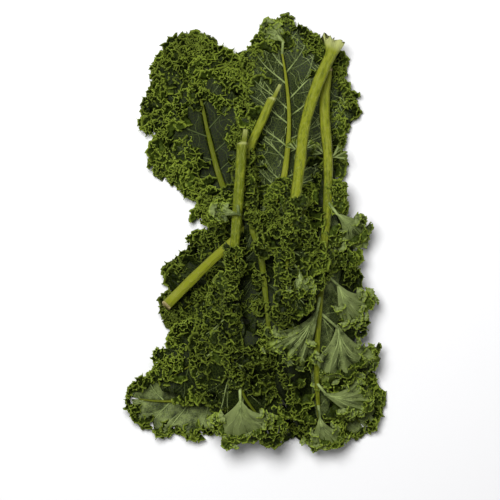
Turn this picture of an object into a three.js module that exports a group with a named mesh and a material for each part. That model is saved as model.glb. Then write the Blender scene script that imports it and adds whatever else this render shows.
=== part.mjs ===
// A bunch of green curly kale, laid down as picked: ten long-stalked leaves heaped over one another, some with
// their stalks towards the top and some the other way. Each leaf is a pale stalk that runs on as the midrib, and
// a dark blade with a lobed, toothed and deeply frilled margin. Millimetres, +Z up, the bunch's length along Y.
import * as THREE from "three";

// The blade. Its thickness is measured straight up, so that the side of a steep frill is still 0.6 mm thick.
const BLADE_THICKNESS = 1.3;
const FRILL_DEPTH = 11.5; // crest to trough at the margin
const FRILL_LENGTH = 27; // crest to crest of the large waves, along the margin
const CRIMP_LENGTH = 12.5; // crest to crest of the small waves that ride on them
const FLAT_SHARE = 0.22; // share of the way from rib to margin that has no frill
const LOBE_DEPTH = 0.11;
const LOBES = 4;
const TOOTH_DEPTH = 0.05;
const RIB_SHARE = 0.93; // the rib ends this far along the blade
const SWEEP = 1.25; // how far the side veins lean towards the tip
const BASE_BACK = 7; // the blade's base lies this far back along the stalk from its first vein

// How the leaves lie: the air between them, and how steeply a rib and a blade may come down.
const LEAF_GAP = 0.9;
const RIB_GAP = 1.1;
const RIB_SLOPE = 0.36;
const BLADE_SLOPE = 0.75;
const CREASE = 3;
const SETTLE = 12;

// The ground under the bunch, as a grid of heights.
const CELL = 3;
const GROUND = { x: -141, y: -231, across: 95, along: 155 };
const MIDDLE = [1.16, -1.0]; // the middle of the heap's outline, which is the origin

// The mesh of a leaf.
const COLUMNS = 38;
const ROWS = [0, 0.2, 0.45, 0.73, 1];
const STALK_STEPS = 15;
const SAMPLES = 400;

// The stalk's section, as shares of its radius: flat underneath, where the blade passes, and round on top.
const SECTION = [
  [-0.7, 0], [0.7, 0], [1, 0.5], [0.85, 1.15], [0.35, 1.6], [-0.35, 1.6], [-0.85, 1.15], [-1, 0.5],
];

// The leaves, lowest first. rib is the plan of stalk and midrib from the cut end to the tip, from is the share of
// it that is bare stalk, reach is how far the blade goes to the left and right of the rib, seen from the cut end,
// and frill is the depth of the frills where nothing presses them down.
const LEAVES = [
  {
    name: "lower_middle", seed: 1, stalk: 4.2, from: 0.26, reach: [44, 42],
    rib: [[62, 30], [30, 10], [-8, -22], [-40, -50], [-62, -70], [-78, -80]],
  },
  {
    name: "lower_right", seed: 2, stalk: 4.4, from: 0.3, reach: [42, 35],
    rib: [[2, -48], [22, -84], [46, -116], [68, -142], [88, -166], [101, -182]],
  },
  {
    name: "bottom_left", seed: 3, stalk: 4.4, from: 0.26, reach: [33, 33],
    rib: [[46, -124], [10, -139], [-24, -149], [-58, -155], [-88, -156], [-114, -153]],
  },
  {
    name: "top_left", seed: 4, stalk: 4.6, from: 0.36, reach: [51, 50],
    rib: [
      [12, -104], [9, -64], [-1, -22], [-16, 12], [-31, 45], [-41, 81], [-48, 113], [-55, 144], [-60, 172],
    ],
  },
  {
    name: "top_right", seed: 5, stalk: 4.7, from: 0.33, reach: [44, 57],
    rib: [
      [-81, -69], [-58, -46], [-34, -23], [-11, -3], [10, 14], [23, 36], [29, 67], [31, 104], [28, 140],
      [24, 168], [24, 191],
    ],
  },
  {
    name: "middle_left", seed: 6, stalk: 4.4, from: 0.3, reach: [38, 36],
    rib: [[58, -58], [28, -76], [-4, -95], [-34, -111], [-62, -125], [-88, -140]],
  },
  {
    name: "inner", seed: 17, stalk: 3.9, from: 0.45, reach: [30, 28],
    rib: [[21, 132], [7, 100], [-5, 71], [-8, 36], [-3, 4], [5, -22], [9, -54], [12, -86], [14, -112]],
  },
  {
    name: "bottom_middle", seed: 8, stalk: 4.9, from: 0.38, reach: [36, 36],
    rib: [
      [-11, 90], [-13, 55], [-16, 14], [-19, -27], [-22, -72], [-20, -117], [-10, -148], [8, -174], [14, -190],
    ],
  },
  {
    name: "right", seed: 9, stalk: 4.9, from: 0.24, reach: [49, 40],
    rib: [
      [65, 147], [63, 108], [66, 63], [65, 18], [60, -27], [57, -72], [55, -117], [57, -160], [62, -193],
    ],
  },
  {
    name: "front", seed: 10, stalk: 5.2, from: 0.6, reach: [34, 30], frill: 17.5,
    rib: [[74, 170], [57, 133], [45, 95], [40, 58], [35, 22], [30, -14], [26, -49], [23, -78]],
  },
];

const KALE_GREEN = 0x35521a;
const STALK_GREEN = 0x8d9c34;

const clamp = THREE.MathUtils.clamp;
const smoothstep = (x, low, high) => THREE.MathUtils.smoothstep(x, low, high);

// A fixed scatter between 0 and 1 for a whole number and a seed.
function scatter(n, seed) {
  const value = Math.sin(n * 12.9898 + seed * 78.233) * 43758.5453;
  return value - Math.floor(value);
}

// The larger of two heights, with the crease between them rounded by up to half of round.
function softMax(a, b, round) {
  return (a + b + Math.sqrt((a - b) ** 2 + round * round)) / 2;
}

// The value of ys at x, in a line through the points (xs, ys).
function interpolate(x, xs, ys) {
  if (x <= xs[0]) return ys[0];
  const last = xs.length - 1;
  if (x >= xs[last]) return ys[last];
  let low = 0;
  let high = last;
  while (high - low > 1) {
    const middle = (low + high) >> 1;
    if (xs[middle] <= x) low = middle;
    else high = middle;
  }
  const share = (x - xs[low]) / (xs[high] - xs[low]);
  return ys[low] + share * (ys[high] - ys[low]);
}

// A row of numbers in which each is the highest, or the mean, of those within reach of it.
function windowed(row, reach, mean) {
  return row.map((_, i) => {
    const near = row.slice(Math.max(0, i - reach), i + reach + 1);
    return mean ? near.reduce((sum, value) => sum + value, 0) / near.length : Math.max(...near);
  });
}

// A height map: heights[j][i] at (GROUND.x + i * CELL, GROUND.y + j * CELL).
class HeightMap {
  constructor(heights) {
    this.heights =
      heights ?? Array.from({ length: GROUND.along }, () => new Array(GROUND.across).fill(0));
  }

  // The height at a point, from the four nearest cells.
  at(x, y) {
    const u = clamp((x - GROUND.x) / CELL, 0, GROUND.across - 1.001);
    const v = clamp((y - GROUND.y) / CELL, 0, GROUND.along - 1.001);
    const [i, j] = [Math.floor(u), Math.floor(v)];
    const [du, dv] = [u - i, v - j];
    const [near, far] = [this.heights[j], this.heights[j + 1]];
    return (
      (near[i] * (1 - du) + near[i + 1] * du) * (1 - dv) + (far[i] * (1 - du) + far[i + 1] * du) * dv
    );
  }

  // Lifts the cells round a point to at least this height.
  lift(x, y, height) {
    const i = Math.round((x - GROUND.x) / CELL);
    const j = Math.round((y - GROUND.y) / CELL);
    for (let row = j - 1; row <= j + 1; row += 1)
      for (let column = i - 1; column <= i + 1; column += 1)
        if (this.heights[row][column] < height) this.heights[row][column] = height;
  }

  filtered(reach, mean) {
    const transpose = (rows) => rows[0].map((_, i) => rows.map((row) => row[i]));
    const alongX = this.heights.map((row) => windowed(row, reach, mean));
    return new HeightMap(transpose(transpose(alongX).map((row) => windowed(row, reach, mean))));
  }

  // A smooth surface that is nowhere under this one: what a limp leaf laid here comes to rest on.
  draped() {
    const cells = Math.round(SETTLE / CELL);
    return this.filtered(cells, false).filtered(cells / 2, true).filtered(cells / 2, true);
  }
}

// The plan of a leaf: places along the rib and beside it, and the outline of its blade.
class LeafPlan {
  constructor(leaf) {
    this.leaf = leaf;
    const points = leaf.rib.map(([x, y]) => new THREE.Vector3(x, y, 0));
    this.dense = new THREE.CatmullRomCurve3(points, false, "catmullrom", 0.5).getPoints(SAMPLES);
    this.lengths = [0];
    for (let i = 1; i <= SAMPLES; i += 1)
      this.lengths.push(this.lengths[i - 1] + this.dense[i].distanceTo(this.dense[i - 1]));
    this.length = this.lengths[SAMPLES];
    this.start = leaf.from * this.length;
    this.blade = this.length - this.start;
    this.ribEnd = this.start + RIB_SHARE * this.blade;
    this.sides = [0, 1].map((side) => this.marginTable(side));
  }

  onRib(a) {
    const x = interpolate(a, this.lengths, this.dense.map((p) => p.x));
    const y = interpolate(a, this.lengths, this.dense.map((p) => p.y));
    return [x, y];
  }

  // The plan point a along the rib and b to its left. Past the tip the rib's line runs straight on.
  place(a, b) {
    const inside = clamp(a, 1, this.length - 1);
    const [x0, y0] = this.onRib(inside - 1);
    const [x1, y1] = this.onRib(inside + 1);
    const size = Math.hypot(x1 - x0, y1 - y0);
    const [tx, ty] = [(x1 - x0) / size, (y1 - y0) / size];
    const [x, y] = this.onRib(inside);
    return [x + tx * (a - inside) - ty * b, y + ty * (a - inside) + tx * b];
  }

  // The margin's place for t from 0, at the blade's base, to 1, at its tip: distance along the rib and beside it.
  margin(side, t) {
    const { reach, seed } = this.leaf;
    const phase = 2 * Math.PI * scatter(side + 1, seed);
    const lobe = Math.sin(2 * Math.PI * LOBES * t + phase);
    const base = 0.4 + 0.6 * smoothstep(t, 0.06, 0.42);
    const round = Math.sin(Math.PI * t ** 0.92) ** 0.6;
    const back = BASE_BACK * (1 - smoothstep(t, 0, 0.12));
    const along = this.start - back + this.blade * (1 - (1 - t) ** SWEEP);
    const beside = reach[side] * base * round * (1 + LOBE_DEPTH * lobe * Math.sin(Math.PI * t));
    return [along, beside];
  }

  // t for each step of length along one side's margin.
  marginTable(side) {
    const shares = [0];
    const lengths = [0];
    let last = this.margin(side, 0);
    for (let i = 1; i <= SAMPLES; i += 1) {
      const next = this.margin(side, i / SAMPLES);
      shares.push(i / SAMPLES);
      lengths.push(lengths[i - 1] + Math.hypot(next[0] - last[0], next[1] - last[1]));
      last = next;
    }
    return { shares, lengths, total: lengths[SAMPLES] };
  }

  // A place on the blade: side 0 is left and 1 right, s is the share of that side's margin, v goes from rib to margin.
  // around is the distance along the whole margin, so that the frills run on past the tip.
  point(side, s, v, tooth = 0) {
    const { shares, lengths, total } = this.sides[side];
    const t = interpolate(s * total, lengths, shares);
    const foot = this.start + RIB_SHARE * this.blade * t;
    const [along, beside] = this.margin(side, t);
    const stretch = 1 + tooth;
    const a = foot + (along - foot) * v;
    const b = (side ? -1 : 1) * beside * v * stretch;
    const [x, y] = this.place(a, b);
    const around = side ? this.sides[0].total + total * (1 - s) : total * s;
    const out = v * Math.hypot(along - foot, beside);
    return { x, y, foot, out, around, fromBase: s * total };
  }
}

// The height of a frill over the lowest line of the blade, and the most that it can be.
function frill(leaf, { around, fromBase, out }, v) {
  const rise = Math.max(0, (v - FLAT_SHARE) / (1 - FLAT_SHARE)) ** 1.3;
  const clear = smoothstep(out, leaf.stalk, 3 * leaf.stalk);
  const most = (leaf.frill ?? FRILL_DEPTH) * rise * clear * smoothstep(fromBase, 0, 14);
  const turn = (2 * Math.PI * around) / FRILL_LENGTH;
  const phase = 2 * Math.PI * scatter(3, leaf.seed);
  const wave = Math.sin(turn + phase + 1.1 * Math.sin(turn * 0.31 + phase));
  const crimp = Math.sin((2 * Math.PI * around) / CRIMP_LENGTH + 2 * phase);
  return { height: (most * (1 + 0.66 * wave + 0.34 * crimp)) / 2, most };
}

// The heights of a leaf laid on the leaves below it: a stiff rib, with the blade hanging from it to what is beneath.
class LaidLeaf {
  constructor(leaf, below) {
    this.leaf = leaf;
    this.plan = new LeafPlan(leaf);
    this.below = below;
    const steps = Math.ceil(this.plan.ribEnd / CELL);
    this.step = this.plan.ribEnd / steps;
    const beside = leaf.stalk + CELL;
    const under = Array.from({ length: steps + 1 }, (_, i) =>
      Math.max(...[-beside, 0, beside].map((b) => below.at(...this.plan.place(i * this.step, b)))),
    );
    const reach = Math.round(18 / this.step);
    const smooth = windowed(windowed(under, reach, false), reach, true);
    this.stations = smooth.map((_, i) => i * this.step);
    this.heights = smooth.map((_, i) =>
      Math.max(...smooth.map((height, j) => height - RIB_SLOPE * this.step * Math.abs(i - j))),
    );
  }

  ribHeight(a) {
    return interpolate(a, this.stations, this.heights);
  }

  // The lowest line of the blade at a place on it.
  floor(place, v) {
    const hung = this.ribHeight(place.foot) - BLADE_SLOPE * place.out;
    return softMax(this.below.at(place.x, place.y), hung, CREASE * v) - (CREASE * v) / 2;
  }

  // The underside of a column's places, from rib to margin.
  underside(side, s, v, tooth) {
    const place = this.plan.point(side, s, v, tooth);
    const wave = frill(this.leaf, place, v);
    const low = Math.max(this.floor(place, v), this.below.at(place.x, place.y));
    return { x: place.x, y: place.y, z: low + wave.height, top: low + wave.most + BLADE_THICKNESS };
  }

  stalkRadius(a) {
    const { start, ribEnd } = this.plan;
    const inBlade = clamp((a - start) / (ribEnd - start), 0, 1);
    return this.leaf.stalk * (1 - 0.12 * clamp(a / start, 0, 1)) * (1 - 0.8 * inBlade);
  }

  stalkBottom(a) {
    return this.ribHeight(a) + BLADE_THICKNESS + RIB_GAP;
  }

  // Lifts a height map to the top of this leaf.
  pileOn(ground) {
    const { plan } = this;
    for (const side of [0, 1]) {
      const steps = Math.ceil(plan.sides[side].total / CELL);
      for (let i = 0; i <= steps; i += 1)
        for (let v = 0; v <= 1.001; v += 0.04) {
          const spot = this.underside(side, i / steps, v, TOOTH_DEPTH);
          ground.lift(spot.x, spot.y, spot.top + LEAF_GAP);
        }
    }
    for (let a = 0; a <= plan.ribEnd; a += 2) {
      const radius = this.stalkRadius(a);
      for (const share of [-1, -0.5, 0, 0.5, 1]) {
        const [x, y] = plan.place(a, share * radius);
        ground.lift(x, y, this.stalkBottom(a) + 1.6 * radius + LEAF_GAP);
      }
    }
  }
}

// A closed geometry from points [x, y, z] and triangles of their numbers.
function geometryOf(points, triangles) {
  const geometry = new THREE.BufferGeometry();
  geometry.setAttribute("position", new THREE.Float32BufferAttribute(points.flat(), 3));
  geometry.setIndex(triangles.flat());
  geometry.computeVertexNormals();
  return geometry;
}

// The blade: one sheet on both sides of the rib, its upper face a copy of the lower one, closed round the margin.
function bladeGeometry(laid) {
  const rows = ROWS.length - 1;
  const points = [];
  const numbers = new Map();
  const add = (side, column, row) => {
    const shared = row === 0 || column === 0 || column === COLUMNS;
    const key = `${shared ? 0 : side},${column},${row}`;
    if (!numbers.has(key)) {
      const tooth = shared ? 0 : TOOTH_DEPTH * (column % 2 ? 1 : -1) * ROWS[row] ** 2;
      const spot = laid.underside(shared ? 0 : side, column / COLUMNS, ROWS[row], tooth);
      numbers.set(key, points.length);
      points.push([spot.x, spot.y, spot.z]);
    }
    return numbers.get(key);
  };
  const faces = [];
  for (const side of [0, 1])
    for (let column = 0; column < COLUMNS; column += 1)
      for (let row = 0; row < rows; row += 1) {
        const corners = [
          add(side, column, row), add(side, column + 1, row),
          add(side, column + 1, row + 1), add(side, column, row + 1),
        ];
        const [a, b, c, d] = corners;
        const pair = column === COLUMNS - 1 ? [[a, b, d], [b, c, d]] : [[a, b, c], [a, c, d]];
        faces.push(...pair.map((face) => (side ? face.reverse() : face)));
      }
  const count = points.length;
  const upper = points.map(([x, y, z]) => [x, y, z + BLADE_THICKNESS]);
  const lowerFaces = faces.map(([a, b, c]) => [a, c, b]);
  const upperFaces = faces.map((face) => face.map((n) => n + count));
  const margin = [];
  for (let column = 0; column < COLUMNS; column += 1) margin.push(add(0, column, rows));
  for (let column = COLUMNS; column > 0; column -= 1) margin.push(add(1, column, rows));
  const wall = margin.flatMap((a, i) => {
    const b = margin[(i + 1) % margin.length];
    return [[a, a + count, b + count], [a, b + count, b]];
  });
  return geometryOf([...points, ...upper], [...lowerFaces, ...upperFaces, ...wall]);
}

// The stalk and midrib: the section carried along the rib, thinner towards the tip, snapped off at a slant.
function stalkGeometry(laid) {
  const { plan } = laid;
  const sides = SECTION.length;
  const points = [];
  for (let i = 0; i <= STALK_STEPS; i += 1) {
    const a = (plan.ribEnd * i) / STALK_STEPS;
    const radius = laid.stalkRadius(a);
    for (const [across, up] of SECTION) {
      const slant = i === 0 ? radius * up * 0.7 : 0;
      const [x, y] = plan.place(a + slant, across * radius);
      points.push([x, y, laid.stalkBottom(a) + up * radius]);
    }
  }
  const triangles = [];
  for (let i = 0; i < STALK_STEPS; i += 1)
    for (let k = 0; k < sides; k += 1) {
      const [a, b] = [i * sides + k, i * sides + ((k + 1) % sides)];
      triangles.push([a, b + sides, a + sides], [a, b, b + sides]);
    }
  const last = STALK_STEPS * sides;
  for (let k = 1; k < sides - 1; k += 1) {
    triangles.push([0, k + 1, k]);
    triangles.push([last, last + k, last + k + 1]);
  }
  return geometryOf(points, triangles);
}

function named(name, geometry, color, roughness) {
  const material = new THREE.MeshStandardMaterial({ color, roughness, metalness: 0 });
  const mesh = new THREE.Mesh(geometry, material);
  mesh.name = name;
  return mesh;
}

const bunch = new THREE.Group();
bunch.position.set(-MIDDLE[0], -MIDDLE[1], 0);
const ground = new HeightMap();
for (const leaf of LEAVES) {
  const laid = new LaidLeaf(leaf, ground.draped());
  bunch.add(named(`${leaf.name}_blade`, bladeGeometry(laid), KALE_GREEN, 0.6));
  bunch.add(named(`${leaf.name}_stalk`, stalkGeometry(laid), STALK_GREEN, 0.5));
  laid.pileOn(ground);
}

export default bunch;
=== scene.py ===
# %% [markdown]
# # A bunch of green curly kale
#
# Ten loose leaves lie heaped on a table, seen from straight above. Each leaf is a pale stalk that runs on
# as the midrib, with a dark blade whose margin grew far faster than its middle and so had to curl. This
# lesson dresses a plain model of the heap. Every plain blade and stalk is replaced by a finer piece that
# lies where the plain one lies, so the plain model stays the judge of size and place.

# %% Load the plain model
import math

import bpy
import numpy as np
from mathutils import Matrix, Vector
from mathutils.bvhtree import BVHTree


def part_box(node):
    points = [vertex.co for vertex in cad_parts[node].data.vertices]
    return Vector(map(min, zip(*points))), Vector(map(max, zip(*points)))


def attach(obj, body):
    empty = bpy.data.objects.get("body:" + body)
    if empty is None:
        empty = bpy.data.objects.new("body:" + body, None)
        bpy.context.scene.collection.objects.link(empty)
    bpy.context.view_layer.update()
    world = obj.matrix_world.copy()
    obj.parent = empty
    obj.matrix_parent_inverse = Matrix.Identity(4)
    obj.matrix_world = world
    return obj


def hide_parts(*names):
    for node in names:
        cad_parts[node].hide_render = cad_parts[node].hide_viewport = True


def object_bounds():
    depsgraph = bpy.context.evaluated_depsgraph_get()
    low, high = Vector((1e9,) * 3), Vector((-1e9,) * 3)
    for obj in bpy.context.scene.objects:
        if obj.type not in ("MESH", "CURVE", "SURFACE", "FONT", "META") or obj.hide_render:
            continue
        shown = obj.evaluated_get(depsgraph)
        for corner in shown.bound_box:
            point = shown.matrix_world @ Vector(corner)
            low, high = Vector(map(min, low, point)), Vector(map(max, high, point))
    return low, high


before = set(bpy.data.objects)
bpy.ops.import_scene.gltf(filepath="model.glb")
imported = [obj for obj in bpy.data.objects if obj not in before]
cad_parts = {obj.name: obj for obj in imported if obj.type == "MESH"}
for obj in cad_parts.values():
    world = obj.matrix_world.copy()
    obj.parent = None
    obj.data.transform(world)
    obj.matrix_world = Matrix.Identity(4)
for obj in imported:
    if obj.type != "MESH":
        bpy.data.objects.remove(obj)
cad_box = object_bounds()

MM = 0.001  # one millimetre: sizes below are in millimetres, and Blender's are in metres
print("plain nodes:", len(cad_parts))

# %% [markdown]
# ## The leaves' plan
#
# A leaf's plan is a line for its rib and a margin on each side. It could be read off the plain model's
# mesh, but the few points that the plain model was built from are easier to follow: `rib` gives the rib's
# points, `stalk` the stalk's radius, `bare` the share of the rib that is bare stalk, and `reach` how far
# the blade goes to the left (side 0) and to the right (side 1) of the rib, all in millimetres.
#
# The other values say how the leaf lies, which only the looks need. With its back up, a leaf shows smooth
# grey-green lobes with pale veins, and with its face up it shows little but curls.
#
# - `web`: how much of the way from rib to margin the smooth blade goes on each side
# - `curls`: where on that way the curls begin; `beyond`: how much further out than usual they end
# - `hidden`: stretches of the rib that curls lie over, as shares of its length
# - `gaps`: places without curls, where one looks down into the heap, each a middle and two radii
# - `tufts`: places with more curls, each a middle, a radius and a number of curls
# - `lobes`: for each its root, the middle of its margin, half its angle and its tint
# - `skirts`: blade in the shade under curls and lobes, painted darker as shade, for each its side, from where
#   to where along the margin and from where to where on the way out
# - `leaflets`: for each its share of the way along the rib, its side, its length and how far it turns aside
# - `veins`: the side veins on each side; `net`: the cross veins from each of them to the next
# - `tint`, `pale`, `rib_tint`: how much lighter than usual web, stalk and midrib are; the darker webs of the
#   top right and inner leaves are partly painted shade
# - the curls' painted shade and sheen: how much darker the curls of the leaves in the middle of the heap are
#   painted, as shade, and how much lighter those of the middle left leaf, as a painted sheen
# - `taper`: how much and how soon the midrib thins

# %% The leaves
MIDDLE_GAP = ((3, -52), (19, 27))  # where one looks down between the top leaves at the inner leaf
USUAL = dict(web=(0.9, 0.9), curls=0.1, beyond=0.0, back_up=False, hidden=[], gaps=[], tufts=[], lobes=[],
             skirts=[], leaflets=[], veins=7, net=0, tint=-0.2, painted_shade_and_sheen=0.0, pale=0.0, rib_tint=-0.08,
             taper=(0.84, 0.85))
LEAVES = [USUAL | leaf for leaf in (
    dict(name="lower_middle", seed=1, stalk=4.2, bare=0.26, reach=(44, 42), painted_shade_and_sheen=-0.2, hidden=[(0.15, 1.0)],
         tufts=[((20, -9), 6, 6)],
         rib=[(62, 30), (30, 10), (-8, -22), (-40, -50), (-62, -70), (-78, -80)]),
    dict(name="lower_right", seed=2, stalk=4.4, bare=0.3, reach=(42, 35), curls=0.76, back_up=True,
         tint=0.1, lobes=[((58, -149), (99, -158), 0.5, 0.35)],
         tufts=[((34, -180), 13, 9), ((20, -160), 7, 5), ((29, -151), 7, 9)],
         rib=[(2, -48), (22, -84), (46, -116), (68, -142), (88, -166), (101, -182)]),
    dict(name="bottom_left", seed=3, stalk=4.4, bare=0.26, reach=(33, 33), curls=0.8, back_up=True, tint=0.0,
         tufts=[((-5, -124), 7, 5), ((4, -150), 7, 5), ((23, -113), 7, 5)],
         rib=[(46, -124), (10, -139), (-24, -149), (-58, -155), (-88, -156), (-114, -153)]),
    dict(name="top_left", seed=4, stalk=4.6, bare=0.36, reach=(51, 50), curls=0.2, beyond=0.07,
         tint=-0.3, pale=-0.15, veins=9, net=4, hidden=[(0.36, 0.5), (0.8, 1.0)],
         tufts=[((-44, 15), 10, 10), ((-38, 4), 8, 9), ((-18, 147), 10, 10), ((-27, 106), 8, 7),
                ((-20, 88), 7, 6)],
         rib=[(12, -104), (9, -64), (-1, -22), (-16, 12), (-31, 45), (-41, 81), (-48, 113), (-55, 144),
              (-60, 172)]),
    # the top right leaf's darker web is partly painted shade
    dict(name="top_right", seed=5, stalk=4.7, bare=0.33, reach=(44, 57), curls=0.6, beyond=-0.03,
         back_up=True, tint=-0.5, pale=0.35, veins=12, net=5, hidden=[(0.36, 0.52)],
         lobes=[((27, 170), (9, 184), 0.55, 0.2)],
         tufts=[((79, 116), 9, 9), ((24, 173), 6, 6), ((-5, 155), 8, 8), ((74, 156), 4, 7),
                ((75, 142), 5, 6)],
         skirts=[(1, 0.3, 0.95, 0.78, 0.93), (0, 0.8, 0.95, 0.78, 0.93)],
         rib=[(-81, -69), (-58, -46), (-34, -23), (-11, -3), (10, 14), (23, 36), (29, 67), (31, 104),
              (28, 140), (24, 168), (24, 191)]),
    dict(name="middle_left", seed=6, stalk=4.4, bare=0.3, reach=(38, 36), painted_shade_and_sheen=0.28, pale=-0.4, tint=-0.4,
         hidden=[(0.2, 1.0)], gaps=[((-78, -142), (23, 8)), ((-44, -130), (24, 8))],
         rib=[(58, -58), (28, -76), (-4, -95), (-34, -111), (-62, -125), (-88, -140)]),
    # the inner leaf's darker web is painted shade, for the gap deep in the heap where it shows
    dict(name="inner", seed=17, stalk=3.9, bare=0.45, reach=(30, 28), curls=0.35, tint=-0.6, painted_shade_and_sheen=-0.2,
         rib_tint=-0.2, taper=(0.5, 1.3), hidden=[(0.27, 0.55)],
         tufts=[((1, -46), 6, 7), ((1, -58), 6, 7), ((0, -70), 6, 6)],
         rib=[(21, 132), (7, 100), (-5, 71), (-8, 36), (-3, 4), (5, -22), (9, -54), (12, -86), (14, -112)]),
    dict(name="bottom_middle", seed=8, stalk=4.9, bare=0.38, reach=(36, 36), web=(0.35, 0.9),
         painted_shade_and_sheen=-0.18, pale=-0.2, hidden=[(0.36, 0.8)], gaps=[MIDDLE_GAP],
         skirts=[(0, 0.45, 1.0, 0.3, 0.85)],
         tufts=[((27, -160), 6, 6), ((21, -114), 6, 5), ((-27, -151), 6, 5)],
         lobes=[((-13, -150), (-8, -190), 0.95, 0.9), ((-12, 13), (-36, 21), 0.3, 0.3)],
         rib=[(-11, 90), (-13, 55), (-16, 14), (-19, -27), (-22, -72), (-20, -117), (-10, -148), (8, -174),
              (14, -190)]),
    dict(name="right", seed=9, stalk=4.9, bare=0.24, reach=(49, 40), web=(0.4, 0.2), curls=0.36, back_up=True,
         beyond=-0.12, tint=-0.1, taper=(0.62, 1.2), hidden=[(0.5, 0.565)],
         gaps=[((46, -121), (7, 17)), ((90, -33), (12, 4.5)), ((75, -70), (8, 6)), ((52, -102), (6, 7))],
         skirts=[(0, 0.03, 1.0, 0.35, 0.78), (1, 0.03, 0.62, 0.15, 0.85), (1, 0.62, 0.97, 0.15, 1.0)],
         tufts=[((70, -4), 7, 5), ((69, -24), 7, 6), ((76, 36), 4, 7), ((92, -97), 4, 3)],
         lobes=[((71, 16), (97, -8), 0.5, 0.15), ((72, -46), (98, -80), 0.55, 0.35),
                ((57, -68), (29, -117), 0.42, 0.1), ((73, -83), (88, -133), 0.7, 0.15),
                ((60, -146), (102, -158), 0.5, 0.25), ((58, -166), (63, -198), 0.6, 0.75)],
         leaflets=[(0.23, 1, 12, 0.9), (0.24, 0, 14, 1.1)],
         rib=[(65, 147), (63, 108), (66, 63), (65, 18), (60, -27), (57, -72), (55, -117), (57, -160),
              (62, -193)]),
    dict(name="front", seed=10, stalk=5.2, bare=0.6, reach=(34, 30), web=(0.9, 0.3), hidden=[(0.58, 1.0)],
         painted_shade_and_sheen=-0.18, gaps=[MIDDLE_GAP], skirts=[(1, 0.1, 0.52, 0.2, 0.66)],
         lobes=[((38, -34), (44, -57), 0.5, 0.15)], leaflets=[(0.4, 0, 9, 1.0), (0.41, 1, 10, 0.8)],
         rib=[(74, 170), (57, 133), (45, 95), (40, 58), (35, 22), (30, -14), (26, -49), (23, -78)]),
)]
MIDDLE = (1.16, -1.0)  # the middle of the heap's outline, which is the origin
BLADE_THICKNESS = 1.3  # of the plain blades
LOBE_DEPTH, LOBES = 0.11, 4  # how much the plain margins go in and out, as a share, and how many times
RIB_SHARE = 0.93  # how much of the blade's length the rib runs through
SWEEP = 1.25  # above 1, so that the way from rib to margin leans towards the tip
BASE_BACK = 7  # how far the blade's base reaches back along the stalk
NARROW_BASE, WIDENS = 0.4, (0.06, 0.42)  # a blade's share of its width at its base, and where it widens
BOW_LEAN, BOW_FULLNESS = 0.92, 0.6  # below 1: widest before the middle, and fuller than a sine's bow
SAMPLES = 400  # the steps that a rib or a margin is divided into


def smoothstep(x, low, high):
    """0 below low, 1 above high, and a smooth rise between."""
    t = np.clip((np.asarray(x, float) - low) / (high - low), 0, 1)
    return t * t * (3 - 2 * t)


def scatter(n, seed):
    """A fixed scatter between 0 and 1 for a whole number and a seed."""
    value = math.sin(n * 12.9898 + seed * 78.233) * 43758.5453
    return value - math.floor(value)


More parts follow.
